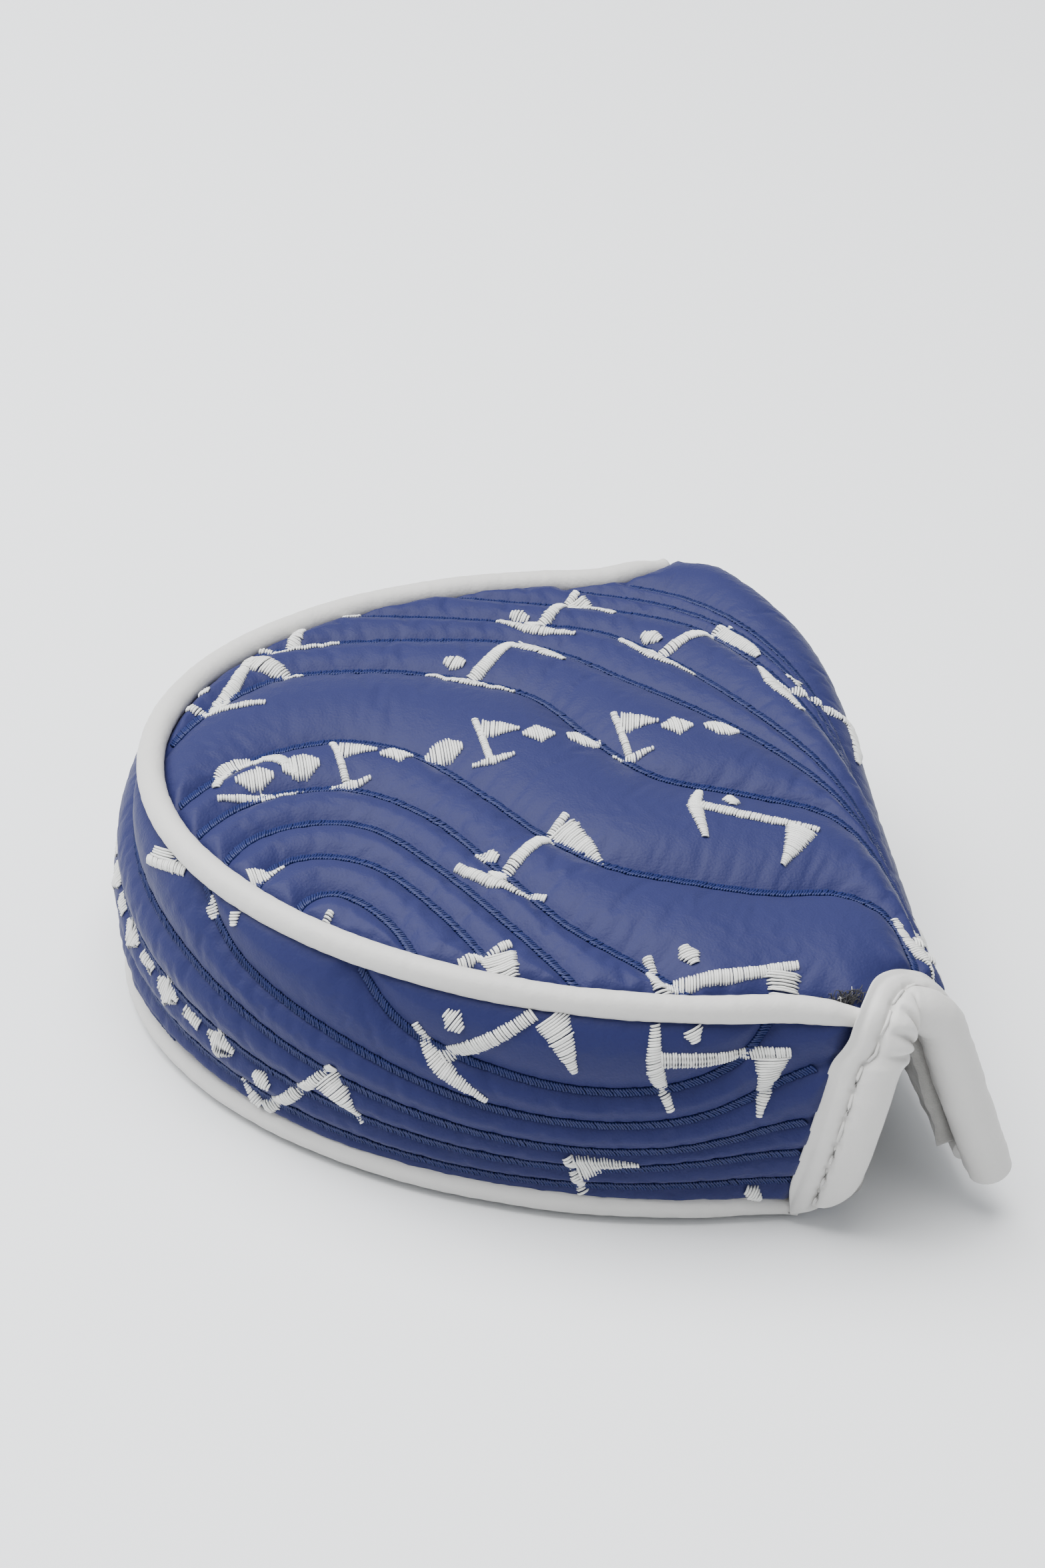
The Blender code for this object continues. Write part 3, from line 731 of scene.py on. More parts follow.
def cloth_swell(surface, grid, sewn):
    """How far cloth simulation swells a padded panel at each place of a grid, between its stitch lines.

    The panel is simulated at twenty times its size. It is pinned where it is sewn, pressed from inside,
    and given a little spare cloth. The swelling is held below MOST_SWELL.
    """
    scene = bpy.context.scene
    start, out = surface.points(grid[..., 0], grid[..., 1])
    rows, columns = grid.shape[:2]
    faces = grid_faces(np.arange(rows * columns).reshape(rows, columns))
    if surface.facing < 0:
        faces = faces[:, ::-1]
    mesh = bpy.data.meshes.new("swelling_panel")
    mesh.from_pydata((start.reshape(-1, 3) * SIM_SCALE).tolist(), [], faces.tolist())
    obj = bpy.data.objects.new("swelling_panel", mesh)
    scene.collection.objects.link(obj)
    group = obj.vertex_groups.new(name="sewn")
    near = sewn(grid).ravel()
    weight = np.exp(-(near / PIN_REACH) ** 2)
    for level in np.linspace(0.1, 1.0, 10):
        chosen = np.flatnonzero(np.abs(weight - level) <= 0.05)
        group.add(chosen.tolist(), float(level), "REPLACE")
    modifier = obj.modifiers.new("cloth", "CLOTH")
    cloth = modifier.settings
    cloth.quality = 4
    cloth.mass = 0.3
    cloth.tension_stiffness = CLOTH_STIFFNESS
    cloth.compression_stiffness = CLOTH_STIFFNESS
    cloth.shear_stiffness = 4.0
    cloth.bending_stiffness = 0.4
    cloth.air_damping = 2.0
    cloth.shrink_min = -SPARE_CLOTH
    cloth.use_pressure = True
    cloth.uniform_pressure_force = AIR_PRESSURE
    cloth.vertex_group_mass = "sewn"
    cloth.effector_weights.gravity = 0.0
    modifier.collision_settings.use_collision = False
    modifier.collision_settings.use_self_collision = False
    modifier.point_cache.frame_start = 1
    modifier.point_cache.frame_end = SIM_FRAMES
    for frame_number in range(1, SIM_FRAMES + 1):
        scene.frame_set(frame_number)
    swollen = obj.evaluated_get(bpy.context.evaluated_depsgraph_get()).to_mesh()
    points = np.empty(len(swollen.vertices) * 3)
    swollen.vertices.foreach_get("co", points)
    points = points.reshape(rows, columns, 3) / SIM_SCALE
    bpy.data.objects.remove(obj)
    scene.frame_set(1)
    rise = ((points - start) * out).sum(-1)
    return MOST_SWELL * np.tanh(rise / MOST_SWELL)


def spread_over(grid, heights):
    """The heights of a grid as a smooth function of place."""
    values = heights.ravel()
    tree = flat_tree(grid.reshape(-1, 2))

    def height(a, b):
        a, b = np.broadcast_arrays(np.asarray(a, float), np.asarray(b, float))
        found = [tree.find_n((x, y, 0.0), 4) for x, y in zip(a.ravel(), b.ravel())]
        index = np.array([[hit[1] for hit in hits] for hits in found])
        share = 1 / (np.array([[hit[2] for hit in hits] for hits in found]) ** 2 + 0.02)
        return ((values[index] * share).sum(1) / share.sum(1)).reshape(a.shape)

    return height


def swell(surface, grid, lines, edges):
    """Add the simulated swelling to a panel's relief."""
    tree = Nearness(np.vstack([*lines, *edges]))
    rise = spread_over(grid, cloth_swell(surface, grid, tree.distance))
    even = surface.relief
    surface.relief = lambda a, b: even(a, b) + rise(a, b)


def make_surfaces():
    """The relief of the cover and of the side band, kept for everything sewn to them."""
    puff = sizes().puff
    cover_lines = [smooth_line(line) for line in COVER_LINES]
    seam, free, heel, toe = cover_edges(COVER_INSET)
    cover = Surface(cover_base, 1.0, quilt_relief(cover_lines, (seam, free, heel, toe), puff, 11))
    band_lines = [smooth_line(line) for line in BAND_LINES]
    ends = band_grid(2, 60, LOW_SEAM_Z, SEAM_Z)
    a = np.linspace(0, ALONG[-1], 900)
    band_sides = (np.stack([a, np.full_like(a, SEAM_Z)], 1), np.stack([a, np.full_like(a, LOW_SEAM_Z)], 1),
                  ends[:, 0], ends[:, 1])
    band = Surface(band_base, -1.0, quilt_relief(band_lines, band_sides, puff * 0.9, 23))
    swell(cover, cover_grid(COVER_INSET, 250, 126), cover_lines, (seam, free, heel, toe))
    swell(band, band_grid(300, 44, LOW_SEAM_Z + BAND_INSET, SEAM_Z - BAND_INSET), band_lines, band_sides)
    return cover, band


def over_fold(piece, slot, *nodes):
    """A piece across the fold: the CAD nodes it replaces are hidden and its transform is baked into its
    mesh.
    """
    if nodes:
        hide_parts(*nodes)
    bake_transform(piece)


def on_body(piece, body, slot, *nodes):
    """A piece that stays with one body."""
    if nodes:
        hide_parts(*nodes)
    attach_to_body(piece, body)


def on_pouch(piece, slot, *nodes):
    """A piece that stays with the pouch."""
    on_body(piece, "pouch", slot, *nodes)


# ---------------------------------------------------------------- threads

def thread_tubes(name, paths, radius, material, sides=5):
    """Many short threads as one mesh. paths has a row of places for each thread."""
    count, length = paths.shape[:2]
    run = np.gradient(paths, axis=1)
    run = run / np.maximum(np.linalg.norm(run, axis=2, keepdims=True), 1e-9)
    up = np.array([0.0, 0.0, 1.0])
    side = np.cross(run, up)
    flat = np.linalg.norm(side, axis=2, keepdims=True)
    side = np.where(flat > 0.05, side / np.maximum(flat, 1e-9), np.array([1.0, 0.0, 0.0]))
    lift = np.cross(side, run)
    angle = np.arange(sides) * 2 * math.pi / sides
    taper = np.sin(np.linspace(0.2, math.pi - 0.2, length)) ** 0.35
    width = radius * taper[None, :, None, None]
    points = (paths[:, :, None] + side[:, :, None] * (np.cos(angle)[None, None, :, None] * width)
              + lift[:, :, None] * (np.sin(angle)[None, None, :, None] * width))
    index = np.arange(count * length * sides).reshape(count, length, sides)
    turned = np.roll(index, -1, axis=2)
    body = np.stack([index[:, :-1], turned[:, :-1], turned[:, 1:], index[:, 1:]], -1).reshape(-1, 4)
    caps = np.concatenate([index[:, 0, ::-1], index[:, -1]])
    return mesh_object(name, points, body.tolist() + caps.tolist(), material)


def satin_threads(surface, line, widths, pitch, rng, slant=0.25, sunk=0.12, lift=0.10):
    """Threads laid side by side across a line on a panel."""
    line = even_line(np.array(line, float), pitch)
    run = line_directions(line)
    across = np.stack([-run[:, 1], run[:, 0]], 1) + run * slant
    share = np.linspace(0, 1, len(line))
    half = np.interp(share, np.linspace(0, 1, len(widths)), widths) / 2
    half = half * (1 + rng.normal(0, 0.05, len(line)))
    centre = line + run * rng.normal(0, pitch * 0.08, len(line))[:, None]
    part = np.array([-1.0, -0.72, 0.0, 0.72, 1.0])
    flat = centre[:, None] + across[:, None] * (half[:, None] * part)[..., None]
    arch = np.array([-sunk, 0.08, 0.13, 0.08, -sunk])[None] + lift
    fullness = np.minimum(half, 1.2)[:, None] * 0.12 * (1 - part ** 2)
    arch = arch + rng.normal(0, 0.03, (len(line), 1)) + fullness
    points, _ = surface.points(flat[..., 0], flat[..., 1], arch)
    return points


MADE = {}


def surfaces():
    """The cover's and the side band's surfaces, made once."""
    if "surfaces" not in MADE:
        MADE["surfaces"] = make_surfaces()
    return MADE["surfaces"]


def padded_panel(name, surface, grid):
    """A laid-out panel of leather and foam, quilted outside and even inside."""
    outer, _ = surface.points(grid[..., 0], grid[..., 1])
    inner, _ = surface.even_points(grid[..., 0], grid[..., 1], np.full(grid.shape[:2], -WALL_LEATHER))
    if surface.facing < 0:
        outer, inner = outer[:, ::-1], inner[:, ::-1]
    piece = slab_object(name, outer, inner, finishes()["cover_leather"])
    return piece


class MakeQuiltedCover(Operator):
    """Top panel and flap: one padded leather sheet, quilted, folded over at the living hinge"""
    bl_idname = "head_cover.quilted_cover"
    bl_label = "Quilted cover"

    def execute(self, context):
        cover, _ = surfaces()
        piece = padded_panel("quilted_cover", cover, cover_grid(COVER_INSET, 500, 250))
        over_fold(piece, "blue_leather", "top_panel", "top_padding", "flap_panel", "flap_padding")
        return {"FINISHED"}


class MakeSideBand(Operator):
    """Side band: padded leather round the back from heel to toe, quilted with sweeping lines"""
    bl_idname = "head_cover.side_band"
    bl_label = "Side band"

    def execute(self, context):
        _, band = surfaces()
        grid = band_grid(620, 90, LOW_SEAM_Z + BAND_INSET, SEAM_Z - BAND_INSET)
        piece = padded_panel("quilted_band", band, grid)
        on_body(piece, "pouch", "blue_leather", "side_band", "side_padding")
        return {"FINISHED"}


# ---------------------------------------------------------------- embroidery

def turned(stroke, place, degrees, size, mirrored):
    """A motif's stroke, turned, sized and put in its place on a panel."""
    points = np.array(stroke, float) * size
    c, s = math.cos(math.radians(degrees)), math.sin(math.radians(degrees))
    moved = np.stack([points[:, 0] * c - points[:, 1] * s, points[:, 0] * s + points[:, 1] * c], 1)
    if mirrored:
        moved[:, 0] = -moved[:, 0]
    return moved + np.array(place)


def on_cover(places):
    """True where a place lies inside the cover's seam, binding and free edge."""
    p, y = places[..., 0], places[..., 1]
    _, _, length = flap_shape(y)
    before = (p <= FOLD_X) & (rim_share(p, y) < 0.925) & (y > -51.5 - 0.9 * np.maximum(37 - p, 0))
    after = (p > FOLD_X) & (p < FOLD_X + length - 0.6) & (y > FLAP_HEEL_Y + 1.5)
    return (before | after) & (y < FLAP_TOE_Y - 1)


def on_band(places):
    a, z = places[..., 0], places[..., 1]
    return (z > LOW_SEAM_Z + 2.0) & (z < SEAM_Z - 2.0) & (a > 14) & (a < ALONG[-1] - 10)


def motif_threads(surface, inside, marks, rng, mirrored, pitch):
    """Threads of several motifs, without those that would fall outside the panel."""
    made = []
    for motif, place, degrees, size in marks:
        for stroke, widths in motif:
            line = smooth_line(turned(stroke, place, degrees, size, mirrored), pitch)
            kept = inside(line)
            if kept.sum() < 4:
                continue
            share = np.linspace(0, 1, len(line))
            half = np.interp(share, np.linspace(0, 1, len(widths)), np.array(widths) * size)
            threads = satin_threads(surface, line, half, pitch, rng, slant=0.15, lift=0.13)
            made.append(threads[inside(even_line(line, pitch))[:len(threads)]])
    return np.concatenate(made)


def row_marks(motifs, ends, degrees, size):
    """The motifs of a row, evenly spaced between its two ends."""
    start, stop = np.array(ends[0]), np.array(ends[1])
    share = np.linspace(0, 1, len(motifs))
    return [(motif, start + (stop - start) * part, degrees, size) for motif, part in zip(motifs, share)]


def line_threads(surface, inside, lines, rng):
    width, pitch = sizes().line_width, sizes().thread_pitch
    made = []
    for points in lines:
        line = smooth_line(points, pitch)
        threads = satin_threads(surface, line, (width, width), pitch, rng, slant=0.7, sunk=0.25, lift=0.12)
        made.append(threads[inside(even_line(line, pitch))[:len(threads)]])
    return np.concatenate(made)


LINE_THREAD_RADIUS = 0.21
MARK_THREAD_RADIUS = 0.2
MARK_PITCH_SHARE = 0.95


def panel_stitching(name, surface, inside, lines, marks, rng, mirrored, attach):
    """The quilting lines and the motifs of one panel."""
    threads = line_threads(surface, inside, lines, rng)
    piece = thread_tubes(name + "_quilting_lines", threads, LINE_THREAD_RADIUS, finishes()["line_thread"])
    attach(piece, "blue_thread")
    threads = motif_threads(surface, inside, marks, rng, mirrored, sizes().thread_pitch * MARK_PITCH_SHARE)
    piece = thread_tubes(name + "_motifs", threads, MARK_THREAD_RADIUS, finishes()["mark_thread"])
    attach(piece, "white_thread")


class MakeCoverStitching(Operator):
    """Quilting lines and embroidered pin flags on the top and the flap"""
    bl_idname = "head_cover.cover_stitching"
    bl_label = "Cover stitching"

    def execute(self, context):
        cover, _ = surfaces()
        rng = np.random.default_rng(5)
        marks = [(PIN_FLAG, (p, y), turn, size) for p, y, turn, size in COVER_FLAGS]
        marks += row_marks(COVER_ROW_MOTIFS, COVER_ROW, 5.0, 1.0)
        panel_stitching("cover", cover, on_cover, COVER_LINES, marks, rng, False, over_fold)
        return {"FINISHED"}


class MakeBandStitching(Operator):
    """Quilting lines, pin flags and a row of diamonds on the side band"""
    bl_idname = "head_cover.band_stitching"
    bl_label = "Band stitching"

    def execute(self, context):
        _, band = surfaces()
        rng = np.random.default_rng(6)
        marks = [(PIN_FLAG, (a, z), turn, size) for a, z, turn, size in BAND_FLAGS]
        marks += row_marks(BAND_ROW_MOTIFS, BAND_ROW, -12.0, 1.0)
        panel_stitching("band", band, on_band, BAND_LINES, marks, rng, True, on_pouch)
        return {"FINISHED"}


# ---------------------------------------------------------------- piping

def tube_object(name, path, radius, ups, material, sides):
    """A tube along a path, its radius given for each place, with closed ends."""
    run = np.gradient(path, axis=0)
    run = run / np.linalg.norm(run, axis=1)[:, None]
    side = np.cross(run, ups)
    side = side / np.linalg.norm(side, axis=1)[:, None]
    lift = np.cross(side, run)
    angle = np.arange(sides) * 2 * math.pi / sides
    ring = (side[:, None] * np.cos(angle)[None, :, None] + lift[:, None] * np.sin(angle)[None, :, None])
    points = path[:, None] + ring * radius[..., None]
    return mesh_object(name, points, ring_faces(len(path), sides), material)


PIPING_SIZE = 1.95
PIPING_SIDES = 24
FLAP_PIPING_DEPTH = 3.5


def piping_radius(path_length, count, sides, seed):
    """Piping radius at each place: slow swelling, and fine folds round the cord on its inner side."""
    s = np.linspace(0, path_length, count)[:, None]
    turn = np.linspace(0, 2 * math.pi, sides, endpoint=False)[None, :]
    slow = 0.05 * soft_noise(s + 0 * turn, 6 * np.cos(turn), 19.0, seed)
    folds = 0.035 * soft_noise(s + 0 * turn, 3.0 * np.sin(turn), 2.6, seed + 1)
    return PIPING_SIZE + slow + folds


def seam_piping(name, heel_x, toe_x, height, inwards, seed):
    first, last = along_at_x(heel_x, "heel"), along_at_x(toe_x, "toe")
    a = np.linspace(first, last, 800)
    place, out = seam_place(a)
    tuck = np.exp(-(np.minimum(a - first, last - a) / 4.5) ** 2)
    place = place - out * (inwards + 0.9 * tuck)[:, None]
    path = np.concatenate([place, (height - 0.7 * tuck)[:, None]], 1)
    radius = piping_radius(last - first, len(a), PIPING_SIDES, seed)
    from_ends = np.minimum(a - first, last - a)[:, None]
    radius = radius * (1 - 0.35 * np.exp(-(from_ends / 5.0) ** 2))
    ups = np.broadcast_to(np.array([0.0, 0.0, 1.0]), path.shape)
    return tube_object(name, path, radius, ups, finishes()["trim_leather"], PIPING_SIDES)


class MakePiping(Operator):
    """White leather piping over a cord, round both seams and along the flap's free edge"""
    bl_idname = "head_cover.piping"
    bl_label = "Piping"

    def execute(self, context):
        top = seam_piping("top_piping", HEEL_EDGE_X[1] + 1.6, LIP_X - 0.5, SEAM_Z, 0.0, 31)
        on_body(top, "pouch", "grey_leather", "top_piping_cover", "top_piping_cord")
        low = seam_piping("bottom_piping", HEEL_EDGE_X[0] + 1.0, TOE_EDGE_X + 1.0, LOW_SEAM_Z - 0.3, 0.6, 37)
        on_body(low, "pouch", "grey_leather", "bottom_piping_cover", "bottom_piping_cord")
        y = np.linspace(FLAP_TOE_Y + 1.0, FLAP_HEEL_Y, 420)
        _, _, length = flap_shape(y)
        base = cover_base(FOLD_X + length + 2.6, y)
        out = normals_of(cover_base, FOLD_X + length + 2.6, y, 1.0)
        path = base - out * FLAP_PIPING_DEPTH
        span = np.linalg.norm(np.diff(path, axis=0), axis=1).sum()
        radius = piping_radius(span, len(y), PIPING_SIDES, 41)
        piece = tube_object("flap_piping", path, radius, out, finishes()["trim_leather"], PIPING_SIDES)
        on_body(piece, "flap", "grey_leather", "flap_piping_cover", "flap_piping_cord")
        return {"FINISHED"}


# ---------------------------------------------------------------- bindings

STITCH_INSET = 2.5
TOPSTITCH_RADIUS = 0.27
LIP_THREAD_RADIUS = 0.26
LIP_STEP = 0.35


def smoothed(values, reach):
    """A running average along the first axis, heaviest in its middle."""
    weights = np.exp(-(np.arange(-reach, reach + 1) / (reach / 2)) ** 2)
    weights = weights / weights.sum()
    padded = np.concatenate([np.repeat(values[:1], reach, 0), values, np.repeat(values[-1:], reach, 0)])
    return np.stack([np.convolve(padded[:, k], weights, "valid") for k in range(values.shape[1])], 1)


def rows_at(values, places):
    """Rows read between the rows of a table."""
    index = np.arange(len(values))
    return np.stack([np.interp(places, index, values[:, k]) for k in range(values.shape[1])], 1)


class Binding:
    """A padded strip folded over a mouth edge, between its sewn line and the rolled edge."""

    def __init__(self, sewn, edge, thick, facing, creases=(), seed=3):
        both = smooth_line(np.hstack([np.array(sewn, float), np.array(edge, float)]), 0.3)
        self.sewn, self.edge = both[:, :3], both[:, 3:]
        self.across = self.edge - self.sewn
        self.width = np.linalg.norm(self.across, axis=1)
        self.across = self.across / self.width[:, None]
        ahead = np.gradient((self.sewn + self.edge) / 2, axis=0)
        out = np.cross(self.across, ahead)
        out = smoothed(out / np.linalg.norm(out, axis=1)[:, None], 14) * facing
        out = out - self.across * (out * self.across).sum(1)[:, None]
        self.out = out / np.linalg.norm(out, axis=1)[:, None]
        line = self.sewn + self.across * STITCH_INSET
        self.along = lengths_along(line)
        share = np.linspace(0, 1, len(self.along))
        self.thick = np.interp(share, np.linspace(0, 1, len(thick)), thick)[:, None]
        pitch = sizes().topstitch_pitch
        self.holes = np.arange(pitch * 0.6, self.along[-1] - 0.8, pitch)
        self.creases = creases
        self.seed = seed

    def face_height(self, s, u, width):
        """Height of the strip's outer face at s along it and u across it."""
        folded = 0.25 + 0.75 * (1 - np.exp(-np.maximum(u + 0.3, 0) / 0.45))
        belly = np.clip((u - STITCH_INSET) / np.maximum(width - STITCH_INSET, 1), 0, 1)
        swell = 0.75 * np.sin(math.pi * belly ** 0.8)
        groove = np.exp(-((u - STITCH_INSET) / 0.6) ** 2)
        hole = np.zeros(np.broadcast(s, u).shape)
        for place in self.holes:
            hole = hole + np.exp(-((s - place) / 0.55) ** 2)
        soft = 0.08 * soft_noise(s + 0 * u, u + 0 * s, 5.0, self.seed)
        fine = 0.05 * soft_noise(s + 0 * u, u * 0.6 + 0 * s, 1.9, self.seed + 1) * (belly > 0)
        return folded + swell - 0.42 * groove - 0.45 * hole * groove + soft + fine

    def pull(self, s, u, width):
        """How far creases pull the padded part in."""
        share = np.clip((u - STITCH_INSET - 0.6) / np.maximum(width - STITCH_INSET, 1), 0, 1)
        total = np.zeros(np.broadcast(s, u).shape)
        for place, depth, reach in self.creases:
            total = total + depth * np.exp(-(np.abs(s - place - 0.25 * (u - width)) / reach) ** 1.6)
        return total * share

    def build(self, name):
        s = self.along[:, None]
        width = self.width[:, None]
        radius = (self.thick + 1.0) / 2
        flat = np.linspace(-0.3, 1, 24)[None] * (width - radius)
        face = self.face_height(s, flat, width)
        rim = self.face_height(s, width - radius, width)
        turn = np.linspace(0, math.pi, 14)[None, 1:-1]
        centre = rim - radius
        round_u = width - radius + np.sin(turn) * radius
        round_v = centre + np.cos(turn) * radius
        back = np.linspace(1, 0, 8)[None] * (width - radius)
        back_v = centre - radius + 0 * back + 0.1 * soft_noise(s + 0 * back, back, 4.0, self.seed + 2)
        u = np.concatenate([flat, round_u, back], 1)
        v = np.concatenate([face, round_v, back_v], 1)
        pulled = self.pull(s, u, width)
        inward = np.concatenate([np.ones_like(flat), np.cos(turn) * np.ones_like(round_u),
                                 -0.5 * np.ones_like(back)], 1)
        v = v - pulled * inward
        u = u - 0.35 * pulled
        points = self.sewn[:, None] + self.across[:, None] * u[..., None]
        points = points + self.out[:, None] * v[..., None]
        rings = points if self.facing_out() else points[:, ::-1]
        return mesh_object(name, rings, ring_faces(*rings.shape[:2]), finishes()["trim_leather"])

    def facing_out(self):
        """Whether the rings already run the way that makes the faces point outwards."""
        ahead = np.gradient(self.sewn, axis=0)
        turn = (np.cross(self.across, self.out) * ahead).sum(1)
        return turn.mean() > 0

    def stitches(self):
        """Topstitch threads, each dipping into a hole at both ends."""
        part = np.array([0.0, 0.12, 0.5, 0.88, 1.0])
        drop = np.array([-0.5, 0.24, 0.44, 0.24, -0.5])
        made = []
        for start, stop in zip(self.holes[:-1], self.holes[1:]):
            s = start + 0.25 + (stop - start - 0.5) * part
            i = np.interp(s, self.along, np.arange(len(self.along)))
            sewn = rows_at(self.sewn, i)
            across, out = rows_at(self.across, i), rows_at(self.out, i)
            width = np.interp(s, self.along, self.width)
            rise = self.face_height(s, np.full_like(s, STITCH_INSET), width) + drop
            made.append(sewn + across * STITCH_INSET + out * rise[:, None])
        return np.array(made)


def heel_binding_lines():
    """Sewn line and mouth edge, up the heel end of the band, over the fold and down the flap."""
    sewn, edge = [], []
    for z in np.linspace(LOW_SEAM_Z - 1.2, SEAM_Z - 7.0, 6):
        share = band_share(z)
        place, out = seam_place(along_at_x(heel_edge_x(share), "heel"))
        run = np.array([out[1], -out[0]])
        place = place + out * BAND_BULGE * math.sin(math.pi * share)
        narrow = 4.0 * max(0.0, 1 - (z - LOW_SEAM_Z) / 7.0) ** 2
        sewn.append((*place, z))
        edge.append((*(place - run * (BINDING_WIDTH - narrow)), z))
    top = SEAM_Z
    sewn += [(31.9, -62.0, top - 3.4), (32.5, -61.7, top - 0.4), (33.7, -60.2, top + 1.8),
             (35.4, -57.6, top + 2.6), (37.6, -55.2, top + 2.3)]
    edge += [(39.5, -63.4, top - 5.6), (39.8, -63.5, top - 3.8), (40.0, -63.3, top - 2.4),
             (40.3, -62.9, top - 1.3), (40.6, -62.2, top - 0.4)]
    for run in np.concatenate([[0.6, 3.5, 7.0], np.linspace(11.0, flap_shape(FLAP_HEEL_Y)[2] + 2.4, 5)]):
        sewn.append(tuple(cover_base(FOLD_X + run, FLAP_HEEL_Y - 0.2)))
        edge.append(tuple(cover_base(FOLD_X + run, FLAP_HEEL_Y - BINDING_WIDTH)))
    return sewn, edge


def toe_binding_lines():
    sewn, edge = [], []
    for z in np.linspace(LOW_SEAM_Z + 1.5, SEAM_Z - 1.5, 7):
        share = band_share(z)
        place, out = seam_place(along_at_x(TOE_EDGE_X, "toe"))
        run = np.array([out[1], -out[0]])
        place = place + out * BAND_BULGE * math.sin(math.pi * share)
        sewn.append((*place, z))
        edge.append((*(place + run * 5.2), z))
    return sewn, edge


def topstitch(name, paths, radius):
    return thread_tubes(name, paths, radius, finishes()["trim_thread"])


class MakeHeelBinding(Operator):
    """Binding of the mouth: up the heel end of the band, over the fold and down the flap's heel edge"""
    bl_idname = "head_cover.heel_binding"
    bl_label = "Heel and flap binding"

    def execute(self, context):
        sewn, edge = heel_binding_lines()
        binding = Binding(sewn, edge, (4.4, 4.4, 4.8, 5.6, 5.8, 5.4), 1.0,
                          creases=((32.6, 1.6, 0.8), (36.0, 2.8, 0.8), (39.6, 2.3, 0.7), (43.0, 1.2, 0.9)))
        piece = binding.build("heel_binding_strip")
        over_fold(piece, "grey_leather", "heel_binding", "flap_binding")
        over_fold(topstitch("heel_topstitch", binding.stitches(), TOPSTITCH_RADIUS), "white_thread")
        return {"FINISHED"}


class MakeToeBinding(Operator):
    """Binding of the toe end of the side band"""
    bl_idname = "head_cover.toe_binding"
    bl_label = "Toe binding"

    def execute(self, context):
        sewn, edge = toe_binding_lines()
        binding = Binding(sewn, edge, (BINDING_THICK, BINDING_THICK), -1.0, seed=8)
        piece = binding.build("toe_binding_strip")
        on_body(piece, "pouch", "grey_leather", "toe_binding")
        on_pouch(topstitch("toe_topstitch", binding.stitches(), TOPSTITCH_RADIUS), "white_thread")
        return {"FINISHED"}


# ---------------------------------------------------------------- lining and underside

class MakeLinings(Operator):
    """Plush lining of the top and flap, of the side band, and of the crown side"""
    bl_idname = "head_cover.linings"
    bl_label = "Plush lining"

    def execute(self, context):
        self.make_top()
        self.make_side()
        self.make_floor()
        return {"FINISHED"}

    def make_top(self):
        grid = cover_grid(3.2, 260, 150)
        p, y = grid[..., 0], grid[..., 1]
        waves = 0.35 * soft_noise(p, y, 11.0, 51) + 0.16 * soft_noise(p, y, 3.6, 52)
        out = normals_of(cover_base, p, y, 1.0)
        upper = cover_base(p, y) - out * LINING_DEPTH
        lower = cover_base(p, y) - out * (LINING_DEPTH + LINING_THICK + waves)[..., None]
        piece = slab_object("top_and_flap_lining", upper, lower, finishes()["lining_plush"])
        over_fold(piece, "plush_lining", "top_lining", "flap_lining")

    def make_side(self):
        grid = band_grid(420, 60, LOW_SEAM_Z + 0.8, SEAM_Z - 6.4)
        a, z = grid[..., 0], grid[..., 1]
        waves = 0.4 * soft_noise(a, z, 12.0, 53) + 0.18 * soft_noise(a, z, 3.8, 54)
        out = normals_of(band_base, a, z, -1.0)
        outer = band_base(a, z) - out * LINING_DEPTH
        inner = band_base(a, z) - out * (LINING_DEPTH + LINING_THICK + waves)[..., None]
        piece = slab_object("side_lining_plush", outer[:, ::-1], inner[:, ::-1], finishes()["lining_plush"])
        on_body(piece, "pouch", "plush_lining", "side_lining")

    def make_floor(self):
        plan = underside_plan(4.2, LIP_X + 0.4)
        low = FLOOR_TOP - LINING_THICK

        def heights(x, y, to_edge):
            waves = 0.3 * soft_noise(x, y, 12.0, 55) + 0.14 * soft_noise(x, y, 3.6, 56)
            top = FLOOR_TOP - 0.3 + waves - 0.9 * np.exp(-(to_edge / 1.2) ** 2)
            return np.full_like(x, low), top

        piece = plate_object("crown_side_lining", plan, heights, finishes()["lining_plush"])
        on_body(piece, "pouch", "plush_lining", "bottom_lining")


def arc_points(centre, radius, start, stop, count):
    angles = np.radians(np.linspace(start, stop, count))
    return [(centre[0] + radius * math.cos(a), centre[1] + radius * math.sin(a)) for a in angles]


def notch_edge(front, half, corner):
    """The shaft notch from heel to toe: a round corner, its round end and another corner."""
    end_x = LIP_EDGE_X - NOTCH_DEPTH + NOTCH_HALF
    heel = arc_points((front - corner, NOTCH_Y - half - corner), corner, 0, 90, 9)
    end = arc_points((end_x, NOTCH_Y), half, 270, 90, 33)
    toe = arc_points((front - corner, NOTCH_Y + half + corner), corner, 270, 360, 9)
    return heel + end + toe


def underside_plan(inset, front):
    """Plan of the crown-side panel: the seam, cut straight at the front, with the shaft notch."""
    a = np.linspace(along_at_x(26.0, "heel"), along_at_x(front - 2.0, "toe"), 260)
    place, out = seam_place(a)
    points = (place - out * inset).tolist()
    half = NOTCH_HALF + 4.0
    toe, heel = (front, points[-1][1] - 2), (front, points[0][1] + 1.5)
    return points + [toe] + notch_edge(front, half, 2.0)[::-1] + [heel]


